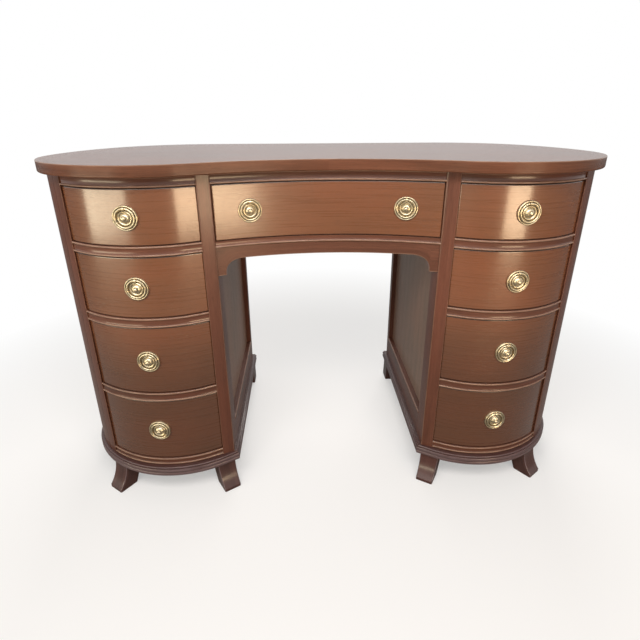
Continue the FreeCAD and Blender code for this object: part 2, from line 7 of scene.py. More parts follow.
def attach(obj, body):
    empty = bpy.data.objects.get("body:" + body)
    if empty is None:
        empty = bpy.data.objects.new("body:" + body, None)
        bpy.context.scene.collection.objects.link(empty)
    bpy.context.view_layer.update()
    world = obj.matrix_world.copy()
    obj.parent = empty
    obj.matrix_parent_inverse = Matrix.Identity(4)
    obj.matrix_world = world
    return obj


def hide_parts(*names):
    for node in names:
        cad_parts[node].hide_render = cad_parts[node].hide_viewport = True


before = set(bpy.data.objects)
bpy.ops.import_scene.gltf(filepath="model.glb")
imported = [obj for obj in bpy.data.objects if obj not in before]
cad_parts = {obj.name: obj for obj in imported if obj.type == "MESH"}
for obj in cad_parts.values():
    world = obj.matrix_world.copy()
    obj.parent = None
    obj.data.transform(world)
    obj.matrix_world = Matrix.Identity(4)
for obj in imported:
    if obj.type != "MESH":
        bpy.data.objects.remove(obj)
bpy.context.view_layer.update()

bl_info = {
    "name": "Kidney-shaped desk",
    "version": (1, 0, 0),
    "blender": (4, 5, 0),
    "location": "View3D > Sidebar > Desk",
    "description": "Builds the visible wood and brass of a kidney-shaped kneehole desk around its CAD frame",
    "category": "Object",
}

# Plan of the top and the case, in metres
HALF_WIDTH = 0.600
HALF_DEPTH = 0.290
BOW_FROM_MIDDLE = 0.366
BOW_RADIUS = 0.250
WIDEST_FROM_BACK = 0.354
STRAIGHT_BACK_HALF = 0.525 * HALF_WIDTH
TOP_RECESS = 0.091
TIGHT_ROUND_SHARE = 0.922
FRONT_OVERHANG = 0.028
SIDE_OVERHANG = 0.014
BACK_OVERHANG = 0.036
BODY_RECESS = 0.0825

# Framing
KNEEHOLE_HALF = 0.228
POST_WIDTH = 0.025
INNER_POST_DEPTH = 0.048
OUTER_POST_DEPTH = 0.050
OUTER_POST_WIDTH = 0.020
OPENING_WIDTH = 0.260
REAR_POST = 0.024
SIDE_THICKNESS = 0.014
WALL_THICKNESS = 0.019
PANEL_SET_BACK = 0.0125
PANEL_THICKNESS = 0.006
GROOVE_DEPTH = 0.006
WALL_BOTTOM_RAIL = 0.062
WALL_TOP_RAIL = 0.155
WALL_BEAD_RADIUS = 0.0025
WALL_BEAD_STAND = 0.0015
RAIL_DEPTH = 0.040
BEAD_HEIGHT = 0.0044
FIELD_SET_BACK = 0.002

# Levels
BASE_BOTTOM = 0.066
BASE_TOP = 0.088
BOTTOM_RAIL_TOP = 0.105
CARCASS_TOP = 0.740
TOP_SURFACE = 0.762
FRIEZE_BOTTOM = 0.719
DRAWER_SHARES = (0.1987, 0.235, 0.284)
DIVIDER_HEIGHT = 0.021
CENTRE_DRAWER_BOTTOM = 0.606
CENTRE_RAIL_BOTTOM = 0.593
APRON_BOTTOM = 0.567

# Drawer fronts
FRONT_THICKNESS = 0.020
FRONT_SET_BACK = 0.004
FRONT_SIDE_GAP = 0.001
FRONT_TOP_GAP = 0.0016
FRONT_BOTTOM_GAP = 0.0008

# Base and feet
BASE_FRONT_INSET = 0.014
BASE_SIDE_INSET = 0.007
BASE_BACK_INSET = 0.030
BASE_RECESS = 0.105
BASE_KNEEHOLE_STEP = 0.012
REED_HEIGHT = 0.009
REED_GROOVE = 0.002
REED_SET_BACK = 0.0001
REED_QUIRK = 0.0005
FILLET_HEIGHT = 0.004
FILLET_SET_BACK = 0.003
FILLET_FLATNESS = 0.7
BASE_TOP_INSET = 0.0075
FOOT_WIDTH = 0.044
FOOT_TOE_WIDTH = 0.040
FOOT_DEPTH = 0.052
FOOT_TOE_DEPTH = 0.045
FOOT_TOP_INSET = 0.005
FOOT_SPLAY = 0.017
FOOT_TOE_HEIGHT = 0.008
REAR_FOOT_SPLAY = 0.001
OUTER_FOOT_INSET = 0.029
FOOT_ROUND = 0.0022
TOE_EASE = 0.0012
TOE_STEPS = (0.0, 0.0004, 0.0012, 0.003)

# Apron
APRON_THICKNESS = 0.020
APRON_SET_BACK = 0.003
BRACKET_DROP = 0.034
BRACKET_FLAT = 0.016
BRACKET_STEP = 0.006
BRACKET_REACH = 0.037
BRACKET_EASE = 0.0008
ARCH_STEP = 0.012

# Ring pulls
PULL_RADIUS = 0.024
RIM_SEAT = 0.0012
RIM_MIDDLE = 0.0021
RIM_ROUND = 0.0015
RIM_SWELL = 0.0014
PULL_GAP = 0.0003
RING_RADIUS = 0.0181
WIRE_RADIUS = 0.0020
PIN_RISE = RING_RADIUS * math.cos(math.pi / 16)
WIRE_FORWARD = 0.0037
WIRE_SHARE = 0.97
EYE_RADIUS = 0.0036
EYE_BORE = 0.0023
EYE_LENGTH = 0.005
CENTRE_PULL_FROM_MIDDLE = 0.158
CENTRE_PULL_RISE = 0.001
BOLT_RADIUS = 0.0023
BOLT_END = 0.006
NUT_RADIUS = 0.0049
NUT_BORE = 0.00245
NUT_THICKNESS = 0.004
NUT_EASE = 0.0004

# The plate's face from its rim to the tip of its button, as radius and how far it stands forward
PLATE_STEPS = (
    (0.0210, 0.0014), (0.0203, 0.0012), (0.0162, 0.0012), (0.0151, 0.0013), (0.0144, 0.0017),
    (0.0138, 0.0026), (0.0135, 0.0036), (0.0128, 0.0042), (0.0120, 0.0042), (0.0113, 0.0038),
    (0.0105, 0.0032), (0.0099, 0.0030), (0.0094, 0.0034), (0.0089, 0.0045), (0.0079, 0.0057),
    (0.0066, 0.0066), (0.0054, 0.0071), (0.0046, 0.0072), (0.0041, 0.0078), (0.0039, 0.0088),
    (0.0041, 0.0096), (0.0040, 0.0104), (0.0034, 0.0112), (0.0024, 0.0117), (0.0012, 0.0119),
    (0.0004, 0.01195),
)

# Softened edges
TOP_UNDERSIDE_INSETS = (0.016, 0.0045)
TOP_SURFACE_INSETS = (0.003, 0.008)
TOP_ROUND = 0.0025
TOP_EASE = 0.0009
TOP_WEAR = (0.5, 1.0, 1.0, 0.5, 0.0, 0.0)
POST_EASE = 0.0016
DRAWER_EASE = 0.0012
APRON_EASE = 0.0012
WALL_EASE = 0.0008
PANEL_EASE = 0.0006
FLAT_MARGIN = 0.003
END_MARGIN = 0.002
SQUARE_EDGE = 0.001
QUIRK_WIDTH = 0.0007
FIELD_DIP = 0.0003
RAIL_STEP = 0.010
FRONT_STEP = 0.009
TURN_STEP = 0.003
CORNER_POINTS = 7
CORNER_SHARE = 0.9
FULL_WEAR_DRAW = 0.0025
SHARP_DEGREES = 38.0
PLATE_SHARP_DEGREES = 30.0

# Places that follow
OPENING_NEAR = KNEEHOLE_HALF + POST_WIDTH
OPENING_FAR = OPENING_NEAR + OPENING_WIDTH
OUTER_POST_FAR = OPENING_FAR + OUTER_POST_WIDTH
CASE_BACK = HALF_DEPTH - BACK_OVERHANG
WIDEST_Y = HALF_DEPTH - WIDEST_FROM_BACK
WALL_INNER = KNEEHOLE_HALF + WALL_THICKNESS
REAR_POST_FRONT = CASE_BACK - REAR_POST
TINY = 0.00002

# Each timber: its bands' fineness and wander, figure, gloss, coat, seed, contrast, shine and painted shade
# low down
TIMBERS = {
    "top": ((24.0, 3.2), 0.8, 0.24, 0.08, 1.3, 0.9, 0.1, 0.0),
    "drawers": ((15.0, 1.6), 0.12, 0.28, 1.0, 5.1, 0.44, 0.4, 0.54),
    "posts": ((30.0, 1.2), 0.5, 0.30, 0.3, 8.7, 0.8, 0.2, 0.25),
    "panels": ((22.0, 1.4), 0.4, 0.40, 0.3, 4.4, 0.7, 0.3, 0.0),
    "rails": ((30.0, 1.2), 0.4, 0.30, 0.5, 3.9, 0.9, 0.2, 0.3),
    "base": ((30.0, 1.2), 0.4, 0.32, 0.4, 6.4, 0.9, 0.2, 0.0),
}
BARE_TIMBER = ((14.0, 1.4), 0.8, 0.62, 0.0, 2.2, 0.7, 0.3, 0.0)
STAINED_TIMBER = ((18.0, 1.4), 0.6, 0.42, 0.1, 7.7, 0.8, 0.3, 0.0)

# A timber's figure: each layer's fineness along and across the grain, detail, roughness and depth
LAYERS = {
    "wander": (1.6, 5.0, 2.0, 0.5, 0.0),
    "ripple": (5.0, 22.0, 2.0, 0.5, 0.0),
    "streak": (5.0, 210.0, 4.0, 0.62, 0.0),
    "fine": (26.0, 900.0, 3.0, 0.6, 0.0),
    "mottle": (4.0, 7.0, 3.0, 0.55, 9.0),
    "flecks": (95.0, 2300.0, 1.0, 0.5, 0.0),
    "patchy": (30.0, 60.0, 3.0, 0.6, 4.0),
}
TONES = ((0.0, 0.42), (0.38, 0.78), (0.62, 1.08), (1.0, 1.62))
# Heights between which the painted shade near the floor fades out
PAINTED_SHADE_LOW = 0.26
PAINTED_SHADE_HIGH = 0.52

# Each lamp's name, place, target, size, watts and colour; the world's light, the floor's fade and the camera
LAMPS = (
    ("window_light", (-1.95, -2.2, 1.75), (0.0, -0.2, 0.6), (2.3, 1.0), 12.0, (1.0, 0.93, 0.84)),
    ("low_light", (-2.25, -1.9, 0.27), (0.0, -0.2, 0.45), (2.1, 0.4), 26.0, (1.0, 0.88, 0.62)),
    ("right_light", (1.15, -2.2, 0.3), (0.35, -0.25, 0.5), (0.95, 0.4), 18.0, (1.0, 0.74, 0.46)),
    ("top_light", (-0.1, -1.2, 1.5), (0.0, -0.25, 0.66), (1.6, 0.5), 23.0, (1.0, 0.95, 0.90)),
    ("back_light", (0.3, 2.0, 2.6), (0.0, 0.25, 0.35), (1.8, 1.2), 46.0, (1.0, 0.97, 0.93)),
)
AMBIENT = 0.28
FLOOR_FADE_START = 0.7
FLOOR_FADE_END = 2.0
CAMERA_PLACE = (-0.0576, -1.1171, 0.8444)
CAMERA_PITCH = 22.0
CAMERA_YAW = 2.449
CAMERA_ROLL = -0.256
CAMERA_LENS = 25.72
CAMERA_SHIFT = -0.035

# Pedestals
SIDES = (("right_", False), ("left_", True))


# Plans

class Round:
    """A circular stretch of a plan, from one point to another."""

    def __init__(self, centre, radius, start, end):
        self.centre, self.radius, self.start, self.end = centre, radius, start, end

    def shrunk(self, depth):
        """The stretch a depth nearer to its centre."""
        share = (self.radius - depth) / self.radius
        start = self.centre + (self.start - self.centre) * share
        end = self.centre + (self.end - self.centre) * share
        return Round(self.centre, self.radius - depth, start, end)

    def holds(self, x):
        """Whether x lies between its ends."""
        slack = 1e-7
        return min(self.start.x, self.end.x) - slack <= x <= max(self.start.x, self.end.x) + slack

    def rise(self, x):
        return math.sqrt(max(self.radius ** 2 - (x - self.centre.x) ** 2, 0.0))

    def points(self, count, start=None):
        """count points along the stretch, its last end left out."""
        first = (start or self.start) - self.centre
        last = self.end - self.centre
        a0 = math.atan2(first.y, first.x)
        a1 = math.atan2(last.y, last.x)
        turn = (a1 - a0 + math.pi) % (2 * math.pi) - math.pi
        found = []
        for k in range(count):
            angle = a0 + turn * k / count
            found.append(self.centre + Vector((math.cos(angle), math.sin(angle))) * self.radius)
        return found


def quarter_turn(start, corner, end):
    """Two rounds that meet in tangent, from start past a square corner to end."""
    first, last = corner - start, corner - end
    if first.length < last.length:
        rounds = quarter_turn(end, corner, start)
        return [Round(item.centre, item.radius, item.end, item.start) for item in reversed(rounds)]
    inward = (end - corner) / last.length
    backward = (start - corner) / first.length
    tight = last.length * TIGHT_ROUND_SHARE
    wide = first.length + (first.length - last.length) ** 2 / (2 * (last.length - tight))
    wide_centre = start + inward * wide
    tight_centre = end + backward * tight
    join = wide_centre + (tight_centre - wide_centre).normalized() * wide
    return [Round(wide_centre, wide, start, join), Round(tight_centre, tight, join, end)]


class Plan:
    """The right half of a kidney plan."""

    def __init__(self, hollow, front_rounds, back_rounds):
        self.hollow, self.front_rounds, self.back_rounds = hollow, front_rounds, back_rounds
        self.back_y = back_rounds[-1].end.y

    def inside(self, depth):
        """The plan set in by a depth all round."""
        return Plan(
            self.hollow.shrunk(-depth),
            [item.shrunk(depth) for item in self.front_rounds],
            [item.shrunk(depth) for item in self.back_rounds],
        )

    def front(self, x):
        """How far back the front edge lies at x, on either half."""
        x = abs(x)
        if x <= self.hollow.end.x:
            return self.hollow.centre.y + self.hollow.rise(x)
        for item in self.front_rounds:
            if item.holds(x):
                return item.centre.y - item.rise(x)
        raise ValueError("no front at %.4f" % x)

    def back(self, x):
        """How far back the back edge lies at x."""
        if x <= STRAIGHT_BACK_HALF:
            return self.back_y
        for item in self.back_rounds:
            if item.holds(x):
                return item.centre.y + item.rise(x)
        raise ValueError("no back at %.4f" % x)

    def turn(self, x):
        """How far the front's outward normal turns from straight ahead at x, in radians."""
        return math.atan2(self.front(x + TURN_STEP) - self.front(x - TURN_STEP), 2 * TURN_STEP)

    def back_turn(self, x):
        """The same for the back, whose outward normal has turned half round already."""
        rise = self.back(x + TURN_STEP) - self.back(x - TURN_STEP)
        return math.pi + math.atan2(rise, 2 * TURN_STEP)

    def beyond_hollow(self, around):
        """The right half from the hollow's end to the straight back's right end."""
        points = []
        for item in self.front_rounds + self.back_rounds:
            points += item.points(around)
        return points + [self.back_rounds[-1].end]

    def outline(self, around=22):
        """The whole plan, from the middle of the hollow round by the right half and then the left."""
        right = self.hollow.points(around) + self.beyond_hollow(around)
        return right + [Vector((-point.x, point.y)) for point in reversed(right[1:])]

    def pedestal_outline(self, near, around=16):
        """The part beyond a straight kneehole side."""
        corner = Vector((near, self.front(near)))
        return self.hollow.points(4, corner) + self.beyond_hollow(around) + [Vector((near, self.back_y))]


def kidney(front_inset, side_inset, back_inset, recess):
    """The top's plan with its edges set in, and with a hollow as deep as the recess."""
    bow_y = front_inset - HALF_DEPTH
    side_x = HALF_WIDTH - side_inset
    back_y = HALF_DEPTH - back_inset
    bow_r = BOW_RADIUS - front_inset
    middle_y = bow_y + recess
    hollow_r = (BOW_FROM_MIDDLE ** 2 + (bow_r - recess) ** 2 - bow_r ** 2) / (2 * recess)
    hollow_centre = Vector((0.0, middle_y - hollow_r))
    bow_centre = Vector((BOW_FROM_MIDDLE, bow_y + bow_r))
    join = hollow_centre + (bow_centre - hollow_centre) * (hollow_r / (hollow_r + bow_r))
    bow = Vector((BOW_FROM_MIDDLE, bow_y))
    widest = Vector((side_x, WIDEST_Y))
    front_rounds = [Round(bow_centre, bow_r, join, bow)]
    front_rounds += quarter_turn(bow, Vector((side_x, bow_y)), widest)
    back_rounds = quarter_turn(widest, Vector((side_x, back_y)), Vector((STRAIGHT_BACK_HALF, back_y)))
    hollow = Round(hollow_centre, hollow_r, Vector((0.0, middle_y)), join)
    return Plan(hollow, front_rounds, back_rounds)


BODY = kidney(FRONT_OVERHANG, SIDE_OVERHANG, BACK_OVERHANG, BODY_RECESS)
BASE = kidney(BASE_FRONT_INSET, BASE_SIDE_INSET, BASE_BACK_INSET, BASE_RECESS)
TOP = kidney(0.0, 0.0, 0.0, TOP_RECESS)
DRAWER_FACE = BODY.inside(FRONT_SET_BACK)


def drawer_levels():
    """Where each drawer opening of a pedestal starts and ends, from the top down."""
    levels = []
    top = FRIEZE_BOTTOM
    shared_height = FRIEZE_BOTTOM - BOTTOM_RAIL_TOP - len(DRAWER_SHARES) * DIVIDER_HEIGHT
    for share in DRAWER_SHARES:
        height = shared_height * share
        levels.append((top - height, top))
        top = top - height - DIVIDER_HEIGHT
    levels.append((BOTTOM_RAIL_TOP, top))
    return levels


# Sections

def rounded_box(a0, a1, b0, b1, radius, steps=4, support=0.0012):
    """A rounded rectangle, with a spare point beside each round so that its flats stay flat when shaded."""
    room = min(a1 - a0, b1 - b0) / 2
    radius = min(radius, room * CORNER_SHARE)
    support = min(support, (room - radius) * CORNER_SHARE)
    points = []
    corners = (
        (a1 - radius, b0 + radius, -math.pi / 2),
        (a1 - radius, b1 - radius, 0.0),
        (a0 + radius, b1 - radius, math.pi / 2),
        (a0 + radius, b0 + radius, math.pi),
    )
    for ca, cb, start in corners:
        arc = [start + math.pi / 2 * k / steps for k in range(steps + 1)]
        turned = [(ca + radius * math.cos(angle), cb + radius * math.sin(angle)) for angle in arc]
        (first_a, first_b), (last_a, last_b) = turned[0], turned[-1]
        before, after = start + math.pi / 2, start + math.pi
        points.append((first_a - support * math.cos(before), first_b - support * math.sin(before)))
        points += turned
        points.append((last_a + support * math.cos(after), last_b + support * math.sin(after)))
    return points


def eased_ends(low, high, ease, steps=3):
    """Places along a bar with how far its section draws in there, so that both of its ends are eased."""
    turns = [math.pi / 2 * k / steps for k in range(steps + 1)]
    stations = [(low + ease * (1 - math.cos(turn)), ease * (1 - math.sin(turn))) for turn in turns]
    far = [(high - (place - low), draw) for place, draw in reversed(stations)]
    return stations, far


class Form:
    """Collects skinned sections into one mesh with a map along the grain and a wear value at each point,
    negative where shade is painted.
    """

    def __init__(self):
        self.points = []
        self.faces = []
        self.maps = []
        self.wear = []

    def skin(self, loops, wear=None, grain="along", closed=False, shift=(0.0, 0.0), cap_axes=(0, 1)):
        """Joins loops of equal length. The grain runs from loop to loop, or around them if grain says so."""
        base = len(self.points)
        first_face, first_map = len(self.faces), len(self.maps)
        size = len(loops[0])
        for i, loop in enumerate(loops):
            for j, point in enumerate(loop):
                self.points.append(Vector(point))
                self.wear.append(wear(i, j) if wear else 0.0)
        along = [0.0]
        for low, high in zip(loops, loops[1:]):
            step = sum((Vector(a) - Vector(b)).length for a, b in zip(low, high)) / size
            along.append(along[-1] + step)
        middle = loops[len(loops) // 2]
        round_loop = [0.0]
        for j in range(size):
            round_loop.append(round_loop[-1] + (Vector(middle[j]) - Vector(middle[(j + 1) % size])).length)
        rows = len(loops) if closed else len(loops) - 1
        for i in range(rows):
            after_i = (i + 1) % len(loops)
            u0 = along[i]
            u1 = along[i + 1] if i + 1 < len(along) else along[-1] + along[1]
            for j in range(size):
                after = (j + 1) % size
                self.faces.append((base + i * size + j, base + i * size + after,
                                   base + after_i * size + after, base + after_i * size + j))
                v0, v1 = round_loop[j], round_loop[j + 1]
                corners = ((u0, v0), (u0, v1), (u1, v1), (u1, v0))
                if grain == "around":
                    corners = tuple((v, u) for u, v in corners)
                self.maps += [(u + shift[0], v + shift[1]) for u, v in corners]
        if not closed:
            order = range(size)
            self.cap(loops[0], base, reversed(order), shift, cap_axes)
            self.cap(loops[-1], len(self.points) - size, order, shift, cap_axes)
        self.turn_outwards(first_face, first_map)
        return self

    def cap(self, loop, first, order, shift, axes):
        """Closes an end with one flat face, mapped square on two of the axes."""
        order = list(order)
        self.faces.append(tuple(first + j for j in order))
        self.maps += [(loop[j][axes[0]] + shift[0], loop[j][axes[1]] + shift[1]) for j in order]

    def turn_outwards(self, first_face, first_map):
        """Reverses the closed form that starts at first_face where its faces look inwards."""
        enclosed = sum(
            self.points[face[0]].dot(self.points[low].cross(self.points[high]))
            for face in self.faces[first_face:] for low, high in zip(face[1:], face[2:])
        )
        if enclosed >= 0.0:
            return
        start = first_map
        for index in range(first_face, len(self.faces)):
            face = self.faces[index]
            self.faces[index] = tuple(reversed(face))
            self.maps[start:start + len(face)] = self.maps[start:start + len(face)][::-1]
            start += len(face)

    def mirrored(self, shift=(3.1, 1.7)):
        """The left-hand twin, its grain taken from elsewhere in the timber."""
        twin = Form()
        twin.points = [Vector((-point.x, point.y, point.z)) for point in self.points]
        twin.wear = list(self.wear)
        start = 0
        for face in self.faces:
            twin.faces.append(tuple(reversed(face)))
            mapped = self.maps[start:start + len(face)]
            twin.maps += [(u + shift[0], v + shift[1]) for u, v in reversed(mapped)]
            start += len(face)
        return twin

    def moved(self, matrix):
        """The same form carried to another place."""
        twin = Form()
        twin.points = [matrix @ point for point in self.points]
        twin.faces, twin.maps, twin.wear = list(self.faces), list(self.maps), list(self.wear)
        return twin

    def add(self, other):
        """Takes in another form as part of this one."""
        base = len(self.points)
        self.points += other.points
        self.wear += other.wear
        self.faces += [tuple(base + index for index in face) for face in other.faces]
        self.maps += other.maps
        return self

    def make(self, name, body, nodes, material, slot, sharp_degrees=SHARP_DEGREES):
        """Makes the visible piece, which rides its body and stands in for its nodes."""
        mesh = bpy.data.meshes.new(name)
        mesh.from_pydata(self.points, [], self.faces)
        layer = mesh.uv_layers.new(name="grain")
        layer.data.foreach_set("uv", [number for pair in self.maps for number in pair])
        # The worn attribute holds wear where it is positive and painted shade where it is negative.
        worn = mesh.attributes.new("worn", "FLOAT", "POINT")
        worn.data.foreach_set("value", self.wear)
        mesh.update()
        mesh.shade_smooth()
        mesh.set_sharp_from_angle(angle=math.radians(sharp_degrees))
        mesh.materials.append(material)
        piece = bpy.data.objects.new(name, mesh)
        bpy.context.scene.collection.objects.link(piece)
        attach(piece, body)
        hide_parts(*nodes)
        return piece


def board(axes, a0, a1, b0, b1, c0, c1, ease, shift):
    """A board with eased edges, a and b being across its grain and c along it.

    axes says which of the object's axes each of the three is.
    """
    near, far = eased_ends(c0, c1, ease)
    stations = near + [(c0 + FLAT_MARGIN, 0.0), (c1 - FLAT_MARGIN, 0.0)] + far
    loops = []
    for place, draw in stations:
        loop = []
        for a, b in rounded_box(a0 + draw, a1 - draw, b0 + draw, b1 - draw, max(ease - draw, TINY)):
            point = [0.0, 0.0, 0.0]
            point[axes[0]], point[axes[1]], point[axes[2]] = a, b, place
            loop.append(point)
        loops.append(loop)
    if axes not in ((0, 1, 2), (1, 2, 0), (2, 0, 1)):
        loops = [list(reversed(loop)) for loop in loops]
    return Form().skin(
        loops, wear=lambda i, j: min(stations[i][1] / FULL_WEAR_DRAW, 1.0), shift=shift, cap_axes=axes[:2],
    )


def front_bar(section, xs, wear, shift):
    """Carries a section of (outwards, up) points along the front, cut square at both ends.

    xs pairs each place with how far the section draws in there.
    """
    plans = {}
    loops = []
    for x, draw in xs:
        loop = []
        for out, z in section(draw):
            key = round(out, 7)
            if key not in plans:
                plans[key] = BODY.inside(-out)
            loop.append((x, plans[key].front(x), z))
        loops.append(loop)
    return Form().skin(loops, wear=wear, shift=shift, cap_axes=(1, 2))


def spread(low, high, step):
    """Even places from low to high, no further apart than step."""
    count = max(2, int(math.ceil((high - low) / step)))
    return [low + (high - low) * k / count for k in range(count + 1)]


# Wood pieces

def desk_top_form(ease):
    """The kidney-shaped board, its lower edge rounded and its upper edge eased."""
    levels = [(inset, CARCASS_TOP) for inset in TOP_UNDERSIDE_INSETS]
    for k in range(8):
        angle = math.pi / 2 * k / 7
        levels.append((TOP_ROUND * (1 - math.sin(angle)), CARCASS_TOP + TOP_ROUND * (1 - math.cos(angle))))
    levels.append((0.0, CARCASS_TOP + TOP_ROUND + END_MARGIN))
    levels.append((0.0, TOP_SURFACE - ease - 0.0015))
    for k in range(4):
        angle = math.pi / 2 * k / 3
        levels.append((ease * (1 - math.cos(angle)), TOP_SURFACE - ease * (1 - math.sin(angle))))
    levels += [(inset, TOP_SURFACE) for inset in TOP_SURFACE_INSETS]
    loops = [[(point.x, point.y, z) for point in TOP.inside(inset).outline()] for inset, z in levels]
    worn = [0.0] * (len(levels) - len(TOP_WEAR)) + list(TOP_WEAR)
    return Form().skin(loops, wear=lambda i, j: worn[i], grain="around")


def eased_polygon(points, radii, steps=3):
    """Rounds the corners of a plan polygon, each by its own radius; a radius of 0 keeps the corner."""
    found = []
    count = len(points)
    for k, point in enumerate(points):
        radius = radii[k]
        if not radius:
            found.append(point)
            continue
        before = (points[k - 1] - point).normalized()
        after = (points[(k + 1) % count] - point).normalized()
        start = point + before * radius
        end = point + after * radius
        for m in range(steps + 1):
            t = m / steps
            found.append(start * (1 - t) ** 2 + point * 2 * t * (1 - t) + end * t ** 2)
    return found


def upright(points, wear, shift):
    """Carries a plan polygon from the base up to the top."""
    heights = (BASE_TOP, BASE_TOP + END_MARGIN, CARCASS_TOP - END_MARGIN, CARCASS_TOP)
    loops = [[(point.x, point.y, z) for point in points] for z in heights]
    return Form().skin(loops, wear=wear, shift=shift)


def post_form(x0, x1, back_y, ease, shift):
    """A front post whose face follows the case's front, with both front arrises eased."""
    points = [Vector((x1, back_y)), Vector((x0, back_y))]
    points += [Vector((x, BODY.front(x))) for x in [x0 + (x1 - x0) * k / 4 for k in range(5)]]
    eased = eased_polygon(points, [0.0, 0.0, ease] + [0.0] * 3 + [ease])
    near, far = points[2], points[-1]

    def wear(i, j):
        reach = min((eased[j] - near).length, (eased[j] - far).length)
        return max(0.0, 1.0 - reach / ease)
    return upright(eased, wear, shift)


def side_form():
    """The bent side, from the outer post round to the rear post."""
    outer = []
    inner = []
    for plan, found in ((BODY, outer), (BODY.inside(SIDE_THICKNESS), inner)):
        start = Vector((OUTER_POST_FAR, plan.front(OUTER_POST_FAR)))
        first = True
        for item in plan.front_rounds:
            if item.end.x <= OUTER_POST_FAR + 1e-6:
                continue
            found += item.points(18, start if first else None)
            first = False
        for item in plan.back_rounds:
            found += item.points(22)
        found.append(plan.back_rounds[-1].end)
        found.append(Vector((KNEEHOLE_HALF + REAR_POST, plan.back_y)))
    return upright(outer + inner[::-1], None, (0.8, 1.5))


def bead_points(z0, direction):
    """A half-round bead from the rail's edge towards its field."""
    radius = BEAD_HEIGHT / 2
    centre = z0 + direction * radius
    found = []
    for k in range(9):
        angle = -math.pi / 2 + math.pi * k / 8
        out = -FIELD_SET_BACK + FIELD_SET_BACK * math.cos(angle)
        found.append((out, centre + direction * radius * math.sin(angle), math.cos(angle)))
    return found


def rail_form(x0, x1, z0, z1, shift, upper_bead=True):
    """A rail with a bead along its lower edge, and one along its upper edge too unless upper_bead is off."""
    quirk = BEAD_HEIGHT + QUIRK_WIDTH
    field = -FIELD_SET_BACK - FIELD_DIP
    section = bead_points(z0, 1)
    section.append((field, z0 + quirk, 0.0))
    if upper_bead:
        section.append((field, z1 - quirk, 0.0))
        section += reversed(bead_points(z1, -1))
    else:
        section.append((field, z1 - SQUARE_EDGE, 0.0))
        section.append((-FIELD_SET_BACK, z1, 0.3))
    section += [(-RAIL_DEPTH, z1, 0.0), (-RAIL_DEPTH, z0, 0.0)]
    return front_bar(
        lambda draw: [(out, z) for out, z, worn in section], [(x, 0.0) for x in spread(x0, x1, RAIL_STEP)],
        wear=lambda i, j: section[j][2], shift=shift,
    )


def drawer_front_form(x0, x1, z0, z1, ease, shift):
    """A drawer front that follows the case's plan, with painted shade along its eased edges."""
    near, far = eased_ends(x0, x1, ease)
    xs = near + [(x, 0.0) for x in spread(x0 + FLAT_MARGIN, x1 - FLAT_MARGIN, FRONT_STEP)] + far
    out0 = -FRONT_SET_BACK - FRONT_THICKNESS
    out1 = -FRONT_SET_BACK

    def section(draw):
        return rounded_box(out0 + draw, out1 - draw, z0 + draw, z1 - draw, max(ease - draw, TINY))

    # Negative wear paints shade along all of the front's eased edges, where it meets the gaps round it.
    def wear(i, j):
        end = min(xs[i][1] / ease, 1.0)
        place = j % CORNER_POINTS
        corner = 1.0 if place in (2, 3, 4) else 0.7 if place in (1, 5) else 0.0
        return -max(end, corner)
    return front_bar(section, xs, wear=wear, shift=shift)


def panel_form(x0, x1, y0, y1, z0, z1, shift):
    """An upright board that stands square to the front, its grain upright."""
    return board((0, 1, 2), x0, x1, y0, y1, z0, z1, PANEL_EASE, shift)


def wall_rail_form(z0, z1, bead, shift):
    """A kneehole rail; where bead is set, a small bead runs along its top edge."""
    y0 = BODY.front(KNEEHOLE_HALF) + INNER_POST_DEPTH
    form = board((0, 2, 1), KNEEHOLE_HALF, WALL_INNER, z0, z1, y0, REAR_POST_FRONT, WALL_EASE, shift)
    if bead:
        middle_x = KNEEHOLE_HALF + WALL_BEAD_RADIUS - WALL_BEAD_STAND
        middle_z = z1 - WALL_BEAD_RADIUS
        loops = []
        for y in (y0, y0 + SQUARE_EDGE, REAR_POST_FRONT - SQUARE_EDGE, REAR_POST_FRONT):
            loop = []
            for k in range(16):
                angle = -2 * math.pi * k / 16
                x = middle_x + WALL_BEAD_RADIUS * math.cos(angle)
                loop.append((x, y, middle_z + WALL_BEAD_RADIUS * math.sin(angle)))
            loops.append(loop)
        form.add(Form().skin(loops, wear=lambda i, j: 0.8, shift=(shift[0] + 0.3, shift[1]), cap_axes=(0, 2)))
    return form


def base_form():
    """The base board with a small top reed over two larger ones."""
    levels = []
    for number in range(2):
        low = BASE_BOTTOM + REED_HEIGHT * number
        for k in range(min(number, 1), 9):
            angle = -math.pi / 2 + math.pi * k / 8
            inset = REED_GROOVE * (1 - math.cos(angle)) + REED_SET_BACK
            height = low + REED_HEIGHT / 2 * (1 + math.sin(angle))
            levels.append((inset + (REED_QUIRK if k in (0, 8) else 0.0), height, math.cos(angle)))
    low = BASE_TOP - FILLET_HEIGHT
    half = FILLET_HEIGHT / 2
    for k in range(7):
        angle = -math.pi / 2 + math.pi * k / 6
        inset = FILLET_SET_BACK + half * FILLET_FLATNESS * (1 - math.cos(angle))
        levels.append((inset, low + half * (1 + math.sin(angle)), math.cos(angle)))
    levels.append((BASE_TOP_INSET, BASE_TOP, 0.0))
    loops = []
    for inset, z, worn in levels:
        outline = BASE.inside(inset).pedestal_outline(KNEEHOLE_HALF - BASE_KNEEHOLE_STEP + inset)
        loops.append([(point.x, point.y, z) for point in outline])
    # With the base's rub colour, this wear also paints a sheen on the reeds' crests.
    return Form().skin(loops, wear=lambda i, j: levels[i][2] * 0.6, grain="around", shift=(0.5, 0.5))


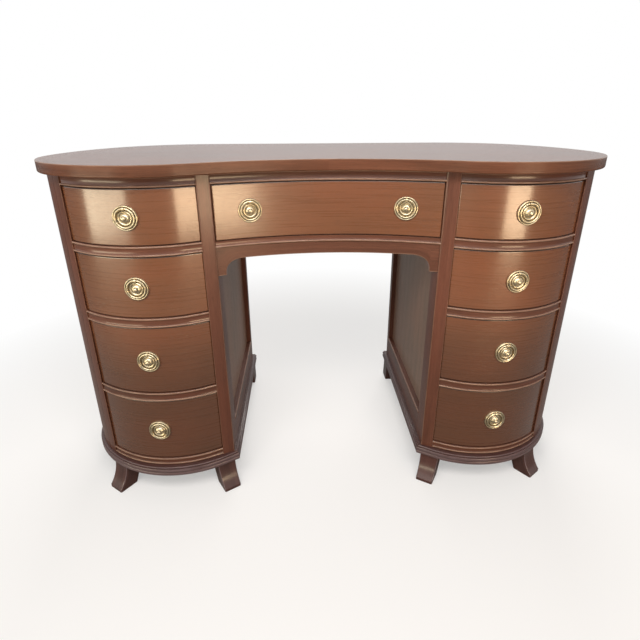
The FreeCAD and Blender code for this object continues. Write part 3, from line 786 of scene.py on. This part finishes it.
def foot_blank(splay):
    """A splayed foot that faces -Y, its front swept out to the toe."""
    toe = -splay
    sweep = FOOT_TOP_INSET - toe
    fall = BASE_BOTTOM - FOOT_TOE_HEIGHT
    radius = (sweep ** 2 + fall ** 2) / (2 * sweep)
    heights = list(TOE_STEPS) + [FOOT_TOE_HEIGHT - SQUARE_EDGE]
    heights += [FOOT_TOE_HEIGHT + fall * k / 12 for k in range(13)]
    near = -FOOT_WIDTH / 2
    loops = []
    for z in heights:
        share = z / BASE_BOTTOM
        if z <= FOOT_TOE_HEIGHT:
            front = toe
        else:
            front = FOOT_TOP_INSET - radius + math.sqrt(radius ** 2 - (BASE_BOTTOM - z) ** 2)
        back = toe + FOOT_TOE_DEPTH + (FOOT_DEPTH - toe - FOOT_TOE_DEPTH) * share
        far = near + FOOT_TOE_WIDTH + (FOOT_WIDTH - FOOT_TOE_WIDTH) * share
        draw = max(0.0, TOE_EASE - z) * 0.8
        section = rounded_box(near + draw, far - draw, front + draw, back - draw, FOOT_ROUND)
        loops.append([(x, y, z) for x, y in section])

    # With the base's rub colour, this wear also paints a sheen on the feet's arrises.
    def wear(i, j):
        return 0.7 if j % CORNER_POINTS in (2, 3, 4) else 0.0
    return Form().skin(loops, wear=wear)


def feet_form():
    """The four feet of the right pedestal, each turned to face outwards."""
    front = foot_blank(FOOT_SPLAY)
    rear = foot_blank(REAR_FOOT_SPLAY)
    far_x = OUTER_POST_FAR - OUTER_FOOT_INSET
    near_x = KNEEHOLE_HALF - BASE_KNEEHOLE_STEP + FOOT_WIDTH / 2 + FOOT_TOP_INSET
    form = Form()
    places = (
        (front, near_x, BASE.front(near_x), BASE.turn(near_x)),
        (front.mirrored((0.7, 0.4)), far_x, BASE.front(far_x), BASE.turn(far_x)),
        (rear, far_x, BASE.back(far_x), BASE.back_turn(far_x)),
        (rear.mirrored((0.9, 0.2)), near_x, BASE.back_y, math.pi),
    )
    for foot, x, y, turn in places:
        form.add(foot.moved(Matrix.Translation((x, y, 0.0)) @ Matrix.Rotation(turn, 4, "Z")))
    return form


def apron_form():
    """The arched apron with a stepped bracket at each end."""
    low = APRON_BOTTOM - BRACKET_DROP
    step_x = KNEEHOLE_HALF - BRACKET_FLAT
    arch_x = step_x - BRACKET_REACH
    step_z = low + BRACKET_STEP
    start, end = Vector((step_x, step_z)), Vector((arch_x, APRON_BOTTOM))
    lower = [(KNEEHOLE_HALF, low), (step_x + BRACKET_EASE, low), (step_x + TINY, low + BRACKET_EASE)]
    for item in quarter_turn(start, Vector((step_x, APRON_BOTTOM)), end):
        lower += [(point.x, point.y) for point in item.points(10)]
    lower.append((arch_x, APRON_BOTTOM))
    count = int(arch_x * 2 / ARCH_STEP)
    flat = [(-arch_x + 2 * arch_x * k / count, APRON_BOTTOM) for k in range(1, count)]
    line = [(-x, z) for x, z in lower] + flat + lower[::-1]
    face = BODY.inside(APRON_SET_BACK)
    rear = BODY.inside(APRON_SET_BACK + APRON_THICKNESS)
    eased_plan = BODY.inside(APRON_SET_BACK + APRON_EASE)
    soft_plan = BODY.inside(APRON_SET_BACK + APRON_EASE * 0.3)
    loops = []
    for x, z in line:
        loops.append([
            (x, face.front(x), CENTRE_RAIL_BOTTOM),
            (x, rear.front(x), CENTRE_RAIL_BOTTOM),
            (x, rear.front(x), z),
            (x, eased_plan.front(x), z),
            (x, soft_plan.front(x), z + APRON_EASE * 0.3),
            (x, face.front(x), z + APRON_EASE),
            (x, face.front(x), z + APRON_EASE * 2),
        ])
    worn = (0.0, 0.0, 0.0, 0.9, 0.9, 0.9, 0.0)
    return Form().skin(loops, wear=lambda i, j: worn[j], shift=(4.6, 1.4), cap_axes=(1, 2))


# Brass pulls

def lathe(profile, sides=56, back=None):
    """Turns (radius, forward) points about the Y axis, -Y being forward. back curves the first row."""
    loops = []
    for index, (radius, forward) in enumerate(profile):
        loop = []
        for k in reversed(range(sides)):
            angle = 2 * math.pi * k / sides
            x = radius * math.sin(angle)
            depth = back(x) if back and index == 0 else forward
            loop.append((x, -depth, radius * math.cos(angle)))
        loops.append(loop)
    return loops


def plate_form(bend_radius, hollow):
    """The round plate with its rim, its sunk ring seat, and the stepped boss that ends in a button."""
    direction = -1 if hollow else 1

    def bed(x):
        return -direction * x * x / (2 * bend_radius) + PULL_GAP * 0.5
    profile = [(PULL_RADIUS, 0.0), (PULL_RADIUS, RIM_SEAT)]
    for k in range(9):
        angle = math.pi * k / 8
        radius = PULL_RADIUS - RIM_ROUND + RIM_ROUND * math.cos(angle)
        profile.append((radius, RIM_MIDDLE + RIM_SWELL * math.sin(angle)))
    profile += PLATE_STEPS
    form = Form().skin(lathe(profile, back=bed), grain="around", cap_axes=(0, 2))
    half = EYE_LENGTH / 2
    section = rounded_box(EYE_BORE, EYE_RADIUS, -half, half, 0.0005, steps=2, support=0.0002)
    eye = []
    for k in range(20):
        ahead, up = math.cos(2 * math.pi * k / 20), math.sin(2 * math.pi * k / 20)
        eye.append([(x, -WIRE_FORWARD - radius * ahead, PIN_RISE + radius * up) for radius, x in section])
    return form.add(Form().skin(eye, grain="around", closed=True))


def bolt_form():
    """The bolt behind the plate with its nut."""
    seat = -FRONT_THICKNESS - PULL_GAP - 0.0001
    end = seat - BOLT_END
    stud = [(0.0012, end), (0.0021, end + 0.0006)]
    stud += [(BOLT_RADIUS, end + 0.0012), (BOLT_RADIUS, -0.0002), (BOLT_RADIUS, 0.0004)]
    form = Form().skin(lathe(stud, sides=20), grain="around", cap_axes=(0, 2))
    under = seat - NUT_THICKNESS
    flat = NUT_RADIUS - 0.0005
    nut = [(NUT_BORE, under), (flat, under), (NUT_RADIUS, under + NUT_EASE)]
    nut += [(NUT_RADIUS, seat - NUT_EASE), (flat, seat), (NUT_BORE, seat)]
    return form.add(Form().skin(lathe(nut, sides=6), grain="around", closed=True))


def ring_form():
    """The loose ring; its top side runs straight through the eye."""
    sides = 72
    line = []
    for k in range(sides):
        angle = 2 * math.pi * k / sides
        height = min(RING_RADIUS * math.cos(angle), PIN_RISE)
        line.append(Vector((RING_RADIUS * math.sin(angle), 0.0, height)))
    radius = WIRE_RADIUS * WIRE_SHARE
    loops = []
    for k, centre in enumerate(line):
        heading = (line[(k + 1) % sides] - line[k - 1]).normalized()
        outward = Vector((heading.z, 0.0, -heading.x)) * -1
        loop = []
        for j in range(14):
            around = 2 * math.pi * j / 14
            point = centre + outward * (radius * math.cos(around))
            loop.append(point + Vector((0.0, -WIRE_FORWARD + radius * math.sin(around), 0.0)))
        loops.append(loop)
    return Form().skin(loops, closed=True)


# Finishes

def feed(tree, socket, value):
    """Links a signal into a socket, or sets the socket to a plain value."""
    if isinstance(value, Signal):
        tree.links.new(value.socket, socket)
    else:
        socket.default_value = value


class Signal:
    """A value on its way through a finish's nodes; sums with it add the nodes that work them out."""

    def __init__(self, tree, socket):
        self.tree = tree
        self.socket = socket

    def maths(self, operation, first, second=None):
        node = self.tree.nodes.new("ShaderNodeMath")
        node.operation = operation
        feed(self.tree, node.inputs[0], first)
        if second is not None:
            feed(self.tree, node.inputs[1], second)
        return Signal(self.tree, node.outputs[0])

    def __add__(self, other):
        return self.maths("ADD", self, other)

    def __radd__(self, other):
        return self.maths("ADD", other, self)

    def __sub__(self, other):
        return self.maths("SUBTRACT", self, other)

    def __rsub__(self, other):
        return self.maths("SUBTRACT", other, self)

    def __mul__(self, other):
        return self.maths("MULTIPLY", self, other)

    def __rmul__(self, other):
        return self.maths("MULTIPLY", other, self)

    def __pow__(self, other):
        return self.maths("POWER", self, other)

    def __rpow__(self, other):
        return self.maths("POWER", other, self)

    def sine(self):
        return self.maths("SINE", self)

    def up_to(self, limit):
        return self.maths("MINIMUM", self, limit)


class Finish:
    """One material, built from its nodes."""

    def __init__(self, name):
        self.material = bpy.data.materials.new(name)
        self.material.use_nodes = True
        self.tree = self.material.node_tree
        self.shader = next(node for node in self.tree.nodes if node.type == "BSDF_PRINCIPLED")
        self.surface = next(node for node in self.tree.nodes if node.type == "OUTPUT_MATERIAL")

    def add(self, kind, settings=None, values=None, output=0):
        """Adds a node with its settings, then feeds its sockets. Gives the signal of one output."""
        node = self.tree.nodes.new(kind)
        for key, value in (settings or {}).items():
            if key == "stops":
                while len(node.color_ramp.elements) < len(value):
                    node.color_ramp.elements.new(0.5)
                for element, (place, colour) in zip(node.color_ramp.elements, value):
                    element.position = place
                    element.color = colour
            else:
                setattr(node, key, value)
        for key, value in (values or {}).items():
            feed(self.tree, node.inputs[key], value)
        return Signal(self.tree, node.outputs[output])

    def set(self, **values):
        """Feeds the shader's own sockets, named with an underscore for each space."""
        for key, value in values.items():
            feed(self.tree, self.shader.inputs[key.replace("_", " ")], value)

    def mix(self, share, first, second):
        """A colour between two colours."""
        return self.add("ShaderNodeMix", {"data_type": "RGBA"}, {0: share, 6: first, 7: second}, 2)

    def vector(self, x, y, z=0.0):
        return self.add("ShaderNodeCombineXYZ", None, {0: x, 1: y, 2: z})

    def parts(self, vector):
        """The three numbers of a vector."""
        split = self.add("ShaderNodeSeparateXYZ", None, {0: vector})
        return [Signal(self.tree, socket) for socket in split.socket.node.outputs]

    def place(self):
        """The three numbers of a place on the object."""
        return self.parts(self.add("ShaderNodeTexCoord", output="Object"))

    def noise(self, vector, detail=2.0, roughness=0.5, scale=1.0):
        return self.add(
            "ShaderNodeTexNoise", {"noise_dimensions": "3D"},
            {"Vector": vector, "Scale": scale, "Detail": detail, "Roughness": roughness},
        )

    def step(self, value, low, high):
        """A soft step from nothing at low to one at high."""
        return self.add(
            "ShaderNodeMapRange", {"interpolation_type": "SMOOTHSTEP"},
            {"Value": value, "From Min": low, "From Max": high, "To Min": 0.0, "To Max": 1.0},
        )

    def bump(self, height, distance, strength):
        values = {"Height": height, "Distance": distance, "Strength": strength}
        return self.add("ShaderNodeBump", None, values)


def shade(colour, share):
    return (colour[0] * share, colour[1] * share, colour[2] * share, 1.0)


def opaque(colour):
    return shade(colour, 1.0)


def wood(name, colour, rub_and_sheen_colour, looks, depth=0.45, axes=None):
    """Timber with pores, streaks and bands along its grain, mottling, worn edges, which for the base also
    carry a painted sheen, and painted shade along edges.

    Without axes the grain follows each piece's own map. axes says which of the object's axes run along the
    grain, across it and through it. The last of looks is how much painted shade darkens the colour near the
    floor. depth is how dark its pores are.
    """
    bands, figure, gloss, coat, seed, contrast, shine, low_shade = looks
    f = Finish(name)
    if axes:
        place = f.place()
        along, across, through = place[axes[0]], place[axes[1]], place[axes[2]]
        depth_in = through * 14.0 + seed
    else:
        place = f.parts(f.add("ShaderNodeUVMap", {"uv_map": "grain"}))
        along, across, depth_in = place[0], place[1], seed

    def layer(key):
        fine_along, fine_across, detail, roughness, deeper = LAYERS[key]
        inwards = depth_in + deeper if deeper else depth_in
        return f.noise(f.vector(along * fine_along, across * fine_across, inwards), detail, roughness)
    wander, ripple = layer("wander"), layer("ripple")
    rings = (across * bands[0] + wander * bands[1] + ripple * 0.35 + depth_in) * (2 * math.pi)
    ring = rings.sine() * 0.5 + 0.5
    streak, fine, mottle, flecks = layer("streak"), layer("fine"), layer("mottle"), layer("flecks")
    pores = f.step(flecks, 0.60, 0.70)
    tone = ring * 0.16 * figure + streak * 0.36 + fine * 0.40 + mottle * 0.27 - 0.03
    spread_out = (tone - 0.47) * (2.1 * contrast) + 0.5
    stops = [(place, shade(colour, share)) for place, share in TONES]
    ramp = f.add("ShaderNodeValToRGB", {"stops": stops}, {"Fac": spread_out})
    reddish = (colour[0] * 1.25, colour[1] * 0.92, colour[2] * 0.8, 1.0)
    warm = f.mix(f.step(mottle, 0.35, 0.7) * 0.35, ramp, reddish)
    # Painted shade: the colour is darkened near the floor, fully below the lower height and fading out by the
    # higher one.
    if low_shade:
        height = f.place()[2]
        warm = f.mix((1.0 - f.step(height, PAINTED_SHADE_LOW, PAINTED_SHADE_HIGH)) * low_shade, warm, shade(colour, 0.12))
    pored = f.mix(pores * depth, warm, shade(colour, 0.30))
    worn = f.add("ShaderNodeAttribute", {"attribute_name": "worn"}, output="Fac")
    rub_and_sheen = worn * (layer("patchy") * 1.3 + 0.15).up_to(1.0)
    # Painted shade: the colour darkens to a tenth where the worn attribute is negative, along the drawer
    # fronts' edges.
    edge_shaded = f.mix(f.step(worn * -1.0, 0.0, 1.0) * 0.9, pored, shade(colour, 0.10))
    f.set(
        Base_Color=f.mix(rub_and_sheen, edge_shaded, opaque(rub_and_sheen_colour)),
        Roughness=streak * 0.10 + pores * 0.18 + (gloss - 0.05) + rub_and_sheen * 0.08,
        Normal=f.bump(fine * 0.5 + streak * 0.6 - pores * 0.9, 0.00012, 0.55),
        Coat_Weight=coat, Coat_Roughness=0.17, Specular_IOR_Level=shine,
    )
    return f.material


def aged_brass(name, colour, dark):
    """Brass that is bright where hands rub it and dark in its grooves."""
    f = Finish(name)
    place = f.add("ShaderNodeTexCoord", output="Object")
    cloud = f.noise(place, 4.0, 0.6, 140.0)
    spots = f.noise(place, 2.0, 0.5, 620.0)
    raised = f.step(f.add("ShaderNodeNewGeometry", output="Pointiness"), 0.44, 0.50)
    patches = f.step(cloud, 0.42, 0.72) * 0.55
    dirt = (patches + (1.0 - raised) * 0.75 + f.step(spots, 0.62, 0.74) * 0.3).up_to(1.0)
    f.set(
        Base_Color=f.mix(dirt, opaque(colour), opaque(dark)),
        Metallic=1.0 - dirt * 0.35,
        Roughness=dirt * 0.28 + 0.29,
        Normal=f.bump(cloud * 0.6 + spots * 0.4, 0.0001, 0.25),
    )
    return f.material


def pale_floor(name, colour):
    """A pale floor that keeps the shadow and fades to white far from the desk."""
    f = Finish(name)
    place = f.place()
    far = f.step((place[0] ** 2.0 + place[1] ** 2.0) ** 0.5, FLOOR_FADE_START, FLOOR_FADE_END)
    speck = f.noise(f.vector(place[0], place[1], 0.0), 3.0, 0.6, 9.0)
    camera = f.add("ShaderNodeLightPath", output="Is Camera Ray")
    seen = f.mix(speck * 0.04, opaque(colour), (1.0, 1.0, 1.0, 1.0))
    f.set(Base_Color=f.mix(camera, shade(colour, 0.3), seen), Roughness=0.85, Specular_IOR_Level=0.1)
    glow = f.add("ShaderNodeEmission", None, {"Color": (1.0, 1.0, 1.0, 1.0), "Strength": 1.0})
    lit = Signal(f.tree, f.shader.outputs[0])
    joined = f.add("ShaderNodeMixShader", None, {0: (far + 0.4).up_to(1.0) * camera, 1: lit, 2: glow})
    f.tree.links.new(joined.socket, f.surface.inputs["Surface"])
    return f.material


# Settings

def colour_setting(name, description, default):
    return bpy.props.FloatVectorProperty(
        name=name, description=description, default=default, size=3, min=0.0, max=1.0, subtype="COLOR",
    )


def length_setting(name, description, default):
    return bpy.props.FloatProperty(
        name=name, description=description, default=default, min=0.0, unit="LENGTH", precision=4,
    )


class DeskSizes(bpy.types.PropertyGroup):
    """The radii of the softened edges, and the size of the floor."""

    top_ease: length_setting("Top's edge", "How far the upper edge of the top is eased", TOP_EASE)
    post_ease: length_setting("Posts' arrises", "How far the front arrises of the posts are eased", POST_EASE)
    drawer_ease: length_setting("Drawers' edges", "How far the drawer fronts' edges are eased", DRAWER_EASE)
    floor_reach: length_setting("Floor reach", "Half the width of the floor around the desk", 9.0)


class DeskFinishes(bpy.types.PropertyGroup):
    """The colours of the timber, the brass and the floor."""

    top: colour_setting("Top", "Polished veneer of the top", (0.105, 0.045, 0.027))
    drawers: colour_setting("Drawer fronts", "Polished veneer of the drawer fronts", (0.165, 0.064, 0.028))
    posts: colour_setting("Posts", "Solid posts and the bent sides", (0.120, 0.046, 0.029))
    # Partly the panels' own colour, partly painted reflection: lighter and greyer than the timber to stand in
    # for reflected haze.
    panels: colour_setting("Panels", "Dull polish of the kneehole walls' panels", (0.205, 0.135, 0.100))
    rails: colour_setting("Rails", "Beaded rails and the apron", (0.105, 0.042, 0.026))
    base: colour_setting("Base", "Reeded base and the feet", (0.058, 0.027, 0.024))
    worn: colour_setting("Worn edges", "Where the polish has rubbed off beads and edges", (0.27, 0.16, 0.11))
    # Partly wear, partly painted sheen: the bluish grey on the reeds' crests and the feet's arrises stands in
    # for reflected cool light.
    base_rub_and_sheen: colour_setting("Rubbed base", "Crests of reeds and edges of feet", (0.165, 0.125, 0.140))
    inside: colour_setting("Inside", "Plain timber of the boxes and the dust boards", (0.34, 0.20, 0.10))
    brass: colour_setting("Brass", "Rubbed brass of the pulls", (0.60, 0.51, 0.35))
    tarnish: colour_setting("Tarnish", "Dark brass in the pulls' grooves", (0.15, 0.125, 0.085))
    floor: colour_setting("Floor", "The plain pale floor", (0.90, 0.90, 0.90))


def material(name, make):
    """A finish that is made once and then shared by the pieces."""
    return bpy.data.materials.get(name) or make(name)


def finishes(context):
    """Every finish of the desk, by its plain name."""
    tint = context.scene.desk_finishes
    made = {}
    for key, looks in TIMBERS.items():
        colour = tuple(getattr(tint, key))
        # The base's rub colour carries a painted sheen as well as wear.
        rub_and_sheen = tuple(tint.base_rub_and_sheen if key == "base" else tint.worn)
        made[key] = material("polished_" + key, lambda name: wood(name, colour, rub_and_sheen, looks))
    brass, tarnish = tuple(tint.brass), tuple(tint.tarnish)
    made["brass"] = material("aged_brass", lambda name: aged_brass(name, brass, tarnish))
    return made


def bare_wood(context, grain):
    """Unpolished timber for an inner board, its grain along one of the object's axes."""
    order = {"x": (0, 2, 1), "y": (1, 2, 0)}[grain]
    tint = tuple(context.scene.desk_finishes.inside)
    return material("bare_wood_" + grain, lambda name: wood(name, tint, tint, BARE_TIMBER, 0.3, order))


def stained_wood(context):
    """The stained board behind the middle drawer, its grain running across the desk."""
    tint = tuple(context.scene.desk_finishes.posts)
    return material("stained_back", lambda name: wood(name, tint, tint, STAINED_TIMBER, axes=(0, 2, 1)))


def make_pair(build, name, node, finish, slot):
    """Makes a piece of the right pedestal and its mirror image for the left, each with its own grain."""
    form = build()
    for prefix, flip in SIDES:
        piece = form.mirrored() if flip else form
        piece.make(prefix + name, "carcass", [prefix + node], finish, slot)


# Operators

class DESK_OT_top(bpy.types.Operator):
    """Make the kidney-shaped top"""

    bl_idname = "kidney_desk.top"
    bl_label = "Top"

    def execute(self, context):
        finish = finishes(context)["top"]
        form = desk_top_form(context.scene.desk_sizes.top_ease)
        form.make("desk_top_board", "carcass", ["desk_top"], finish, "top_veneer")
        return {"FINISHED"}


class DESK_OT_case(bpy.types.Operator):
    """Make the posts, the beaded rails, the bent sides and the kneehole walls"""

    bl_idname = "kidney_desk.case"
    bl_label = "Case"

    def execute(self, context):
        made = finishes(context)
        ease = context.scene.desk_sizes.post_ease

        def posts():
            inner_back = BODY.front(KNEEHOLE_HALF) + INNER_POST_DEPTH
            outer_back = BODY.front(OPENING_FAR) + OUTER_POST_DEPTH
            form = post_form(KNEEHOLE_HALF, OPENING_NEAR, inner_back, ease, (0.2, 0.1))
            return form.add(post_form(OPENING_FAR, OUTER_POST_FAR, outer_back, ease, (1.4, 0.6)))

        def rails():
            levels = drawer_levels()
            form = rail_form(OPENING_NEAR, OPENING_FAR, FRIEZE_BOTTOM, CARCASS_TOP, (0.3, 0.2))
            for number, (low, high) in enumerate(levels[:-1]):
                shift = (0.9 * number + 1.1, 0.37 * number)
                form.add(rail_form(OPENING_NEAR, OPENING_FAR, low - DIVIDER_HEIGHT, low, shift))
            return form.add(rail_form(OPENING_NEAR, OPENING_FAR, BASE_TOP, BOTTOM_RAIL_TOP, (5.2, 2.9)))

        def wall():
            x0 = KNEEHOLE_HALF
            form = panel_form(
                x0, x0 + REAR_POST, REAR_POST_FRONT, CASE_BACK, BASE_TOP, CARCASS_TOP, (2.0, 0.3),
            )
            form.add(wall_rail_form(BASE_TOP, BASE_TOP + WALL_BOTTOM_RAIL, True, (0.4, 0.8)))
            return form.add(wall_rail_form(CARCASS_TOP - WALL_TOP_RAIL, CARCASS_TOP, False, (1.9, 1.2)))

        def panel():
            x0 = KNEEHOLE_HALF + PANEL_SET_BACK
            y0 = BODY.front(KNEEHOLE_HALF) + INNER_POST_DEPTH - GROOVE_DEPTH
            y1 = REAR_POST_FRONT + GROOVE_DEPTH
            z0 = BASE_TOP + WALL_BOTTOM_RAIL - GROOVE_DEPTH
            z1 = CARCASS_TOP - WALL_TOP_RAIL + GROOVE_DEPTH
            return panel_form(x0, x0 + PANEL_THICKNESS, y0, y1, z0, z1, (0.6, 2.2))

        make_pair(posts, "front_post_pair", "front_posts", made["posts"], "post_mahogany")
        make_pair(rails, "beaded_rails", "drawer_rails", made["rails"], "rail_mahogany")
        make_pair(wall, "kneehole_wall_frame", "kneehole_frame", made["posts"], "post_mahogany")
        # The panels' finish carries a painted reflection haze in its colour.
        make_pair(panel, "kneehole_wall_panel", "kneehole_panel", made["panels"], "side_veneer")
        make_pair(side_form, "bent_side", "curved_side", made["posts"], "side_veneer")
        return {"FINISHED"}


class DESK_OT_base(bpy.types.Operator):
    """Make the reeded bases and the splayed feet"""

    bl_idname = "kidney_desk.base"
    bl_label = "Base and feet"

    def execute(self, context):
        finish = finishes(context)["base"]
        make_pair(base_form, "reeded_base", "base_moulding", finish, "base_mahogany")
        make_pair(feet_form, "splayed_feet", "feet", finish, "base_mahogany")
        return {"FINISHED"}


class DESK_OT_centre(bpy.types.Operator):
    """Make the rails over and under the middle drawer, and the arched apron"""

    bl_idname = "kidney_desk.centre"
    bl_label = "Centre"

    def execute(self, context):
        made = finishes(context)
        half = KNEEHOLE_HALF
        rails = rail_form(-half, half, FRIEZE_BOTTOM, CARCASS_TOP, (7.3, 0.9))
        rails.add(rail_form(-half, half, CENTRE_RAIL_BOTTOM, CENTRE_DRAWER_BOTTOM, (8.8, 2.1), False))
        rails.make("centre_beaded_rails", "carcass", ["centre_rails"], made["rails"], "rail_mahogany")
        apron_form().make("arched_apron", "carcass", ["apron"], made["rails"], "rail_mahogany")
        return {"FINISHED"}


class DESK_OT_drawers(bpy.types.Operator):
    """Make the nine curved drawer fronts"""

    bl_idname = "kidney_desk.drawers"
    bl_label = "Drawer fronts"

    def execute(self, context):
        finish = finishes(context)["drawers"]
        ease = context.scene.desk_sizes.drawer_ease
        x0 = OPENING_NEAR + FRONT_SIDE_GAP
        x1 = OPENING_FAR - FRONT_SIDE_GAP
        for number, (low, high) in enumerate(drawer_levels(), start=1):
            shift = (0.61 * number, 0.43 * number)
            form = drawer_front_form(x0, x1, low + FRONT_BOTTOM_GAP, high - FRONT_TOP_GAP, ease, shift)
            for prefix, flip in SIDES:
                name = "%sdrawer_%d" % (prefix, number)
                piece = form.mirrored((4.4, 2.6)) if flip else form
                piece.make(name + "_veneered_front", name, [name + "_front"], finish, "drawer_veneer")
        half = KNEEHOLE_HALF - FRONT_SIDE_GAP
        z0 = CENTRE_DRAWER_BOTTOM + FRONT_BOTTOM_GAP
        form = drawer_front_form(-half, half, z0, FRIEZE_BOTTOM - FRONT_TOP_GAP, ease, (9.1, 3.3))
        name = "centre_drawer"
        form.make(name + "_veneered_front", name, [name + "_front"], finish, "drawer_veneer")
        return {"FINISHED"}


class DESK_OT_pulls(bpy.types.Operator):
    """Make the ten brass ring pulls"""

    bl_idname = "kidney_desk.pulls"
    bl_label = "Ring pulls"

    def execute(self, context):
        brass = finishes(context)["brass"]
        bow = BOW_RADIUS - FRONT_OVERHANG - FRONT_SET_BACK
        plate = plate_form(bow, False).add(bolt_form())
        ring = ring_form()
        across = OPENING_NEAR + OPENING_WIDTH / 2
        for number, (low, high) in enumerate(drawer_levels(), start=1):
            for prefix, flip in SIDES:
                x = -across if flip else across
                name = "%sdrawer_%d" % (prefix, number)
                place = self.place(x, (low + high) / 2)
                self.plate(plate.moved(place), name, name + "_ring_plate", brass)
                self.ring(ring.moved(place), name, brass)
        height = (CENTRE_DRAWER_BOTTOM + FRIEZE_BOTTOM) / 2 + CENTRE_PULL_RISE
        plates = Form()
        hollow_plate = plate_form(DRAWER_FACE.hollow.radius, True).add(bolt_form())
        for word, x in (("left", -CENTRE_PULL_FROM_MIDDLE), ("right", CENTRE_PULL_FROM_MIDDLE)):
            place = self.place(x, height)
            plates.add(hollow_plate.moved(place))
            self.ring(ring.moved(place), "centre_drawer_" + word, brass)
        self.plate(plates, "centre_drawer", "centre_drawer_ring_plates", brass)
        return {"FINISHED"}

    def plate(self, form, drawer, name, brass):
        form.make(name, drawer, [drawer + "_pull_plate"], brass, "brass", PLATE_SHARP_DEGREES)

    def ring(self, form, prefix, brass):
        form.make(prefix + "_loose_ring", prefix + "_ring", [prefix + "_pull_ring"], brass, "brass")

    def place(self, x, z):
        """Where a pull sits: square on the drawer front at a place."""
        side = -1 if x < 0 else 1
        turn = side * DRAWER_FACE.turn(abs(x))
        spot = Matrix.Translation((x, DRAWER_FACE.front(abs(x)) - PULL_GAP, z))
        return spot @ Matrix.Rotation(turn, 4, "Z")


class DESK_OT_inside(bpy.types.Operator):
    """Finish the plain boards inside the desk"""

    bl_idname = "kidney_desk.inside"
    bl_label = "Inside boards"

    def execute(self, context):
        made = finishes(context)
        grains = {"dust_boards": "x", "centre_runners": "y", "_box": "y"}
        for name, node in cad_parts.items():
            grain = next((grain for ending, grain in grains.items() if name.endswith(ending)), None)
            finish = bare_wood(context, grain) if grain else None
            if name == "centre_back":
                finish = stained_wood(context)
            if finish:
                node.data.materials.clear()
                node.data.materials.append(finish)
        return {"FINISHED"}


class DESK_OT_stage(bpy.types.Operator):
    """Set the floor, the studio lights and the camera"""

    bl_idname = "kidney_desk.stage"
    bl_label = "Stage"

    def execute(self, context):
        scene = context.scene
        self.floor(context)
        for lamp in LAMPS:
            self.lamp(*lamp)
        self.world(scene)
        self.camera(scene)
        scene.view_settings.view_transform = "Standard"
        return {"FINISHED"}

    def floor(self, context):
        reach = context.scene.desk_sizes.floor_reach
        mesh = bpy.data.meshes.new("floor")
        corners = [(-reach, -reach, 0.0), (reach, -reach, 0.0), (reach, reach, 0.0), (-reach, reach, 0.0)]
        mesh.from_pydata(corners, [], [(0, 1, 2, 3)])
        mesh.materials.append(pale_floor("pale_floor", tuple(context.scene.desk_finishes.floor)))
        floor = bpy.data.objects.new("floor", mesh)
        context.scene.collection.objects.link(floor)

    def lamp(self, name, place, target, size, power, colour):
        light = bpy.data.lights.new(name, "AREA")
        light.shape = "RECTANGLE"
        light.size, light.size_y = size
        light.energy = power
        light.color = colour
        lamp = bpy.data.objects.new(name, light)
        lamp.location = place
        lamp.rotation_euler = (Vector(target) - Vector(place)).to_track_quat("-Z", "Y").to_euler()
        bpy.context.scene.collection.objects.link(lamp)

    def world(self, scene):
        """White to the camera and to mirrors, and a plain even light on everything else."""
        world = bpy.data.worlds.new("studio_white")
        world.use_nodes = True
        tree = world.node_tree
        background = tree.nodes["Background"]
        background.inputs["Color"].default_value = (1.0, 1.0, 1.0, 1.0)
        path = tree.nodes.new("ShaderNodeLightPath")
        rays = ("Is Camera Ray", "Is Glossy Ray", "Is Transmission Ray")
        camera, glossy, through = (Signal(tree, path.outputs[ray]) for ray in rays)
        strength = AMBIENT + (camera + glossy + through).up_to(1.0) * (1.0 - AMBIENT)
        tree.links.new(strength.socket, background.inputs["Strength"])
        scene.world = world

    def camera(self, scene):
        """The photograph's viewpoint."""
        pitch, yaw, roll = (math.radians(angle) for angle in (CAMERA_PITCH, CAMERA_YAW, CAMERA_ROLL))
        ahead = Vector((math.sin(yaw) * math.cos(pitch), math.cos(yaw) * math.cos(pitch), -math.sin(pitch)))
        right = Vector((math.cos(yaw), -math.sin(yaw), 0.0))
        up = right.cross(ahead)
        rolled_right = right * math.cos(roll) + up * math.sin(roll)
        rolled_up = up * math.cos(roll) - right * math.sin(roll)
        lens = bpy.data.cameras.new("photo_view")
        lens.sensor_width = 36.0
        lens.lens = CAMERA_LENS
        lens.shift_y = CAMERA_SHIFT
        lens.clip_start = 0.01
        camera = bpy.data.objects.new("photo_view", lens)
        matrix = Matrix((rolled_right, rolled_up, -ahead)).transposed().to_4x4()
        matrix.translation = Vector(CAMERA_PLACE)
        camera.matrix_world = matrix
        scene.collection.objects.link(camera)
        scene.camera = camera


class DESK_PT_panel(bpy.types.Panel):
    """The desk's pieces and finishes"""

    bl_idname = "DESK_PT_panel"
    bl_label = "Kidney-shaped desk"
    bl_space_type = "VIEW_3D"
    bl_region_type = "UI"
    bl_category = "Desk"

    def draw(self, context):
        for operator in OPERATORS:
            self.layout.operator(operator.bl_idname)
        for group in (context.scene.desk_sizes, context.scene.desk_finishes):
            for key in group.bl_rna.properties.keys():
                if key not in ("rna_type", "name"):
                    self.layout.prop(group, key)


OPERATORS = (
    DESK_OT_stage, DESK_OT_top, DESK_OT_case, DESK_OT_base, DESK_OT_centre, DESK_OT_drawers, DESK_OT_pulls,
    DESK_OT_inside,
)
CLASSES = (DeskSizes, DeskFinishes) + OPERATORS + (DESK_PT_panel,)


def register():
    for item in CLASSES:
        bpy.utils.register_class(item)
    bpy.types.Scene.desk_sizes = bpy.props.PointerProperty(type=DeskSizes)
    bpy.types.Scene.desk_finishes = bpy.props.PointerProperty(type=DeskFinishes)


def unregister():
    del bpy.types.Scene.desk_finishes
    del bpy.types.Scene.desk_sizes
    for item in reversed(CLASSES):
        bpy.utils.unregister_class(item)


def main():
    register()
    for operator in OPERATORS:
        group, name = operator.bl_idname.split(".")
        getattr(getattr(bpy.ops, group), name)()


if __name__ == "__main__":
    main()
